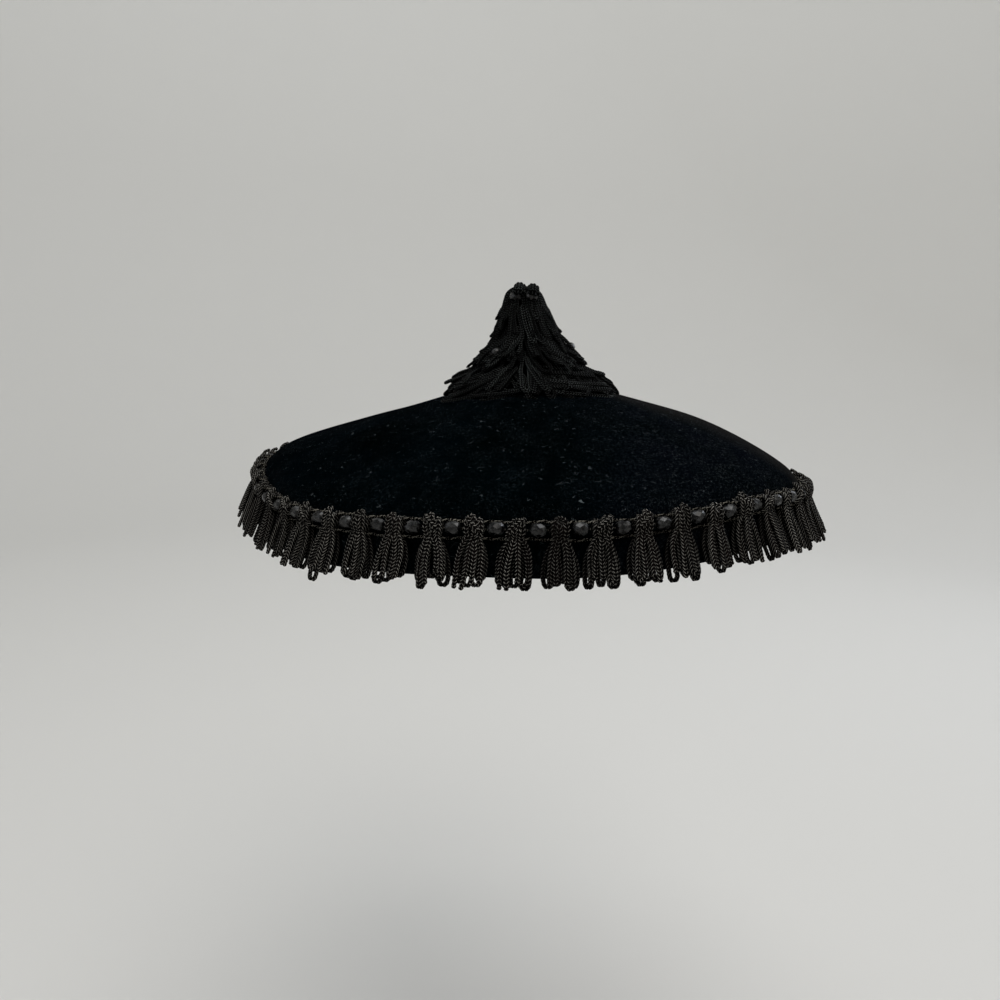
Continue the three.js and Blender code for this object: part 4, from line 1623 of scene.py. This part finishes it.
@dataclass
class LooseBeads:
    """The single beads that nestle in the top tassel."""

    tassel: TopTassel
    bead: JetBead = JetBead()
    tip_radius: float = 7.8
    tip_lift: float = 73.6
    skirt: Rows = ((-43, 19.5, 51), (83, 18.3, 53), (-160, 19.5, 51))  # degrees, radius, lift
    seed: int = 5

    def dress(self, jet: Material) -> None:
        """Makes each bead as a piece of its own.

        Args:
            jet: Material of the beads.
        """
        rng = np.random.default_rng(self.seed)
        tip = [(degrees, self.tip_radius, self.tip_lift) for degrees in TIP_BEAD_TURNS]
        for stem, rows in (("top_tip_bead", tip), ("top_skirt_bead", self.skirt)):
            for number, (degrees, radius, lift) in enumerate(rows, start=1):
                turn = math.radians(degrees)
                hole = np.array([math.cos(turn), math.sin(turn), rng.normal(0, 0.1)])
                outward = np.array([math.sin(turn), -math.cos(turn), 0.2])
                centre = self.tassel.place(turn, radius, lift)
                parts, node = MeshParts(), f"{stem}_{number:02d}"
                self.bead.lay(parts, centre, hole, outward, roll=rng.uniform(0, FULL_TURN))
                parts.settle(f"{node}_jet", Slot.JET, node, jet, smooth=False)


# ---- Stage ----


@dataclass(frozen=True)
class Lamp:
    """A square soft lamp. Sizes in metres."""

    name: str
    place: tuple[float, float, float]
    size: float
    watts: float
    colour: str
    target: tuple[float, float, float] = (0.0, 0.0, 0.0)

    def build(self) -> None:
        """Adds the lamp, pointed at its target."""
        data = bpy.data.lights.new(self.name, "AREA")
        data.size = self.size
        data.energy = self.watts
        data.color = linear(self.colour)[:3]
        lamp = bpy.data.objects.new(self.name, data)
        lamp.location = self.place
        aim = Vector(self.target) - Vector(self.place)
        lamp.rotation_euler = aim.to_track_quat("-Z", "Y").to_euler()
        bpy.context.scene.collection.objects.link(lamp)


@dataclass
class Studio:
    """A plain pale floor that curves up all round, soft lamps and the camera."""

    floor_height: float = -420.0
    floor_radius: float = 1500.0
    cove_radius: float = 900.0
    wall_height: float = 2400.0
    segments: int = 96
    camera_place: tuple[float, float, float] = (0.0002, -0.3377, 0.0189)  # in metres
    yaw: float = math.radians(-2.11)
    pitch: float = math.radians(11.99)
    roll: float = math.radians(2.11)
    lens: float = 27.72
    room: str = "#e6e6e4"
    room_strength: float = 0.12
    lamps: tuple[Lamp, ...] = (
        Lamp("key_lamp", (0.35, -0.75, 1.5), 1.3, 14.0, "#fffaf4"),
        Lamp("fill_lamp", (-1.3, -0.9, 0.7), 0.9, 4.0, "#f4f8ff"),
        Lamp("rim_lamp", (1.3, 0.8, 0.9), 0.8, 8.0, "#eef4ff"),
        Lamp("backdrop_lamp", (0, 0.2, 2.2), 1.8, 33.0, "#fbfeff", target=(0, 2.3, 0.3)),
    )

    def build_floor(self, paint: Material) -> None:
        """Makes the floor as one surface of revolution.

        Args:
            paint: The floor's material.
        """
        angles = np.linspace(0, math.pi / 2, 12)
        radius = self.floor_radius + self.cove_radius * np.sin(angles)
        height = self.floor_height + self.cove_radius * (1 - np.cos(angles))
        turns = turns_of(self.segments)
        rings = [
            np.column_stack([r * np.sin(turns), -r * np.cos(turns), np.full(len(turns), z)])
            for r, z in zip([*radius, radius[-1]], [*height, self.wall_height])
        ]
        under, _ = ring_caps(len(rings), self.segments).tolist()
        parts = MeshParts()
        parts.add(np.vstack(rings), [under, *ring_quads(len(rings), self.segments).tolist()])
        parts.to_object("studio_floor", paint)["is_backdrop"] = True

    def add_camera(self) -> None:
        """Adds the camera, level apart from a slight roll, looking a little down at the hat."""
        data = bpy.data.cameras.new("camera")
        data.lens = self.lens
        data.sensor_width = 36.0
        data.clip_start = 0.01
        data.clip_end = 20.0
        camera = bpy.data.objects.new("camera", data)
        heading = Matrix.Rotation(-self.yaw, 4, "Z")
        dip = Matrix.Rotation(math.pi / 2 - self.pitch, 4, "X")
        roll = Matrix.Rotation(self.roll, 4, "Z")
        camera.matrix_world = Matrix.Translation(self.camera_place) @ heading @ dip @ roll
        bpy.context.scene.collection.objects.link(camera)
        bpy.context.scene.camera = camera

    def build(self) -> None:
        """Sets up the floor, the lamps, the pale surroundings and the camera."""
        self.build_floor(MattBoard().material())
        for lamp in self.lamps:
            lamp.build()
        world = bpy.data.worlds.new("pale_room")
        world.use_nodes = True
        colour = {"Color": linear(self.room), "Strength": self.room_strength}
        fill(world.node_tree, world.node_tree.nodes["Background"], colour)
        bpy.context.scene.world = world
        bpy.context.scene.view_settings.view_transform = "Standard"
        self.add_camera()


# ---- Assembly ----


def write_sizes() -> None:
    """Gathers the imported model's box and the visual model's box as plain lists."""
    boxes = {"cad": CAD_BOX, "visual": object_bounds()}
    plain = {name: [list(low), list(high)] for name, (low, high) in boxes.items()}


def main() -> None:
    """Builds the hat and its studio."""
    logging.basicConfig(level=logging.INFO, format="%(name)s: %(message)s")
    rayon = KnittedRayon().material()
    # painted highlight: the heading thread is coloured lighter than the tassels' rayon, for the
    # highlights on its twist
    thread = KnittedRayon(
        "rayon thread, twisted two ply", body="#26231f", painted_highlight="#a8a498", arm_advance=0.5
    ).material()
    # painted light: the fringe's rayon tinted cooler for the top tassel, which is the same cord
    painted_cool_rayon = KnittedRayon(
        "black rayon chainette, cooled_by_painted_light", body="#040506", painted_highlight="#7e8584", brown="#080b0c"
    ).material()
    # painted shade: a near-black copy of the rayon for the core, which lies only in shade
    painted_shade = KnittedRayon(
        "rayon cords, packed in the core", body="#000000", painted_highlight="#010101", lustre=0.0
    ).material()
    jet = JetGlass().material()
    form = HatForm()
    VelvetCrown(form).dress(SilkVelvet().material(), StiffenedFelt().material())
    fringe = EdgeFringe(form)
    fringe.dress(rayon, thread)
    BeadStrings(fringe).dress(jet, thread)
    tassel = TopTassel(form)
    tassel.dress(painted_cool_rayon, painted_shade)
    TipKnot(tassel).dress(painted_cool_rayon, painted_shade)
    LooseBeads(tassel).dress(jet)
    Studio().build()
    write_sizes()


if __name__ == "__main__":
    main()
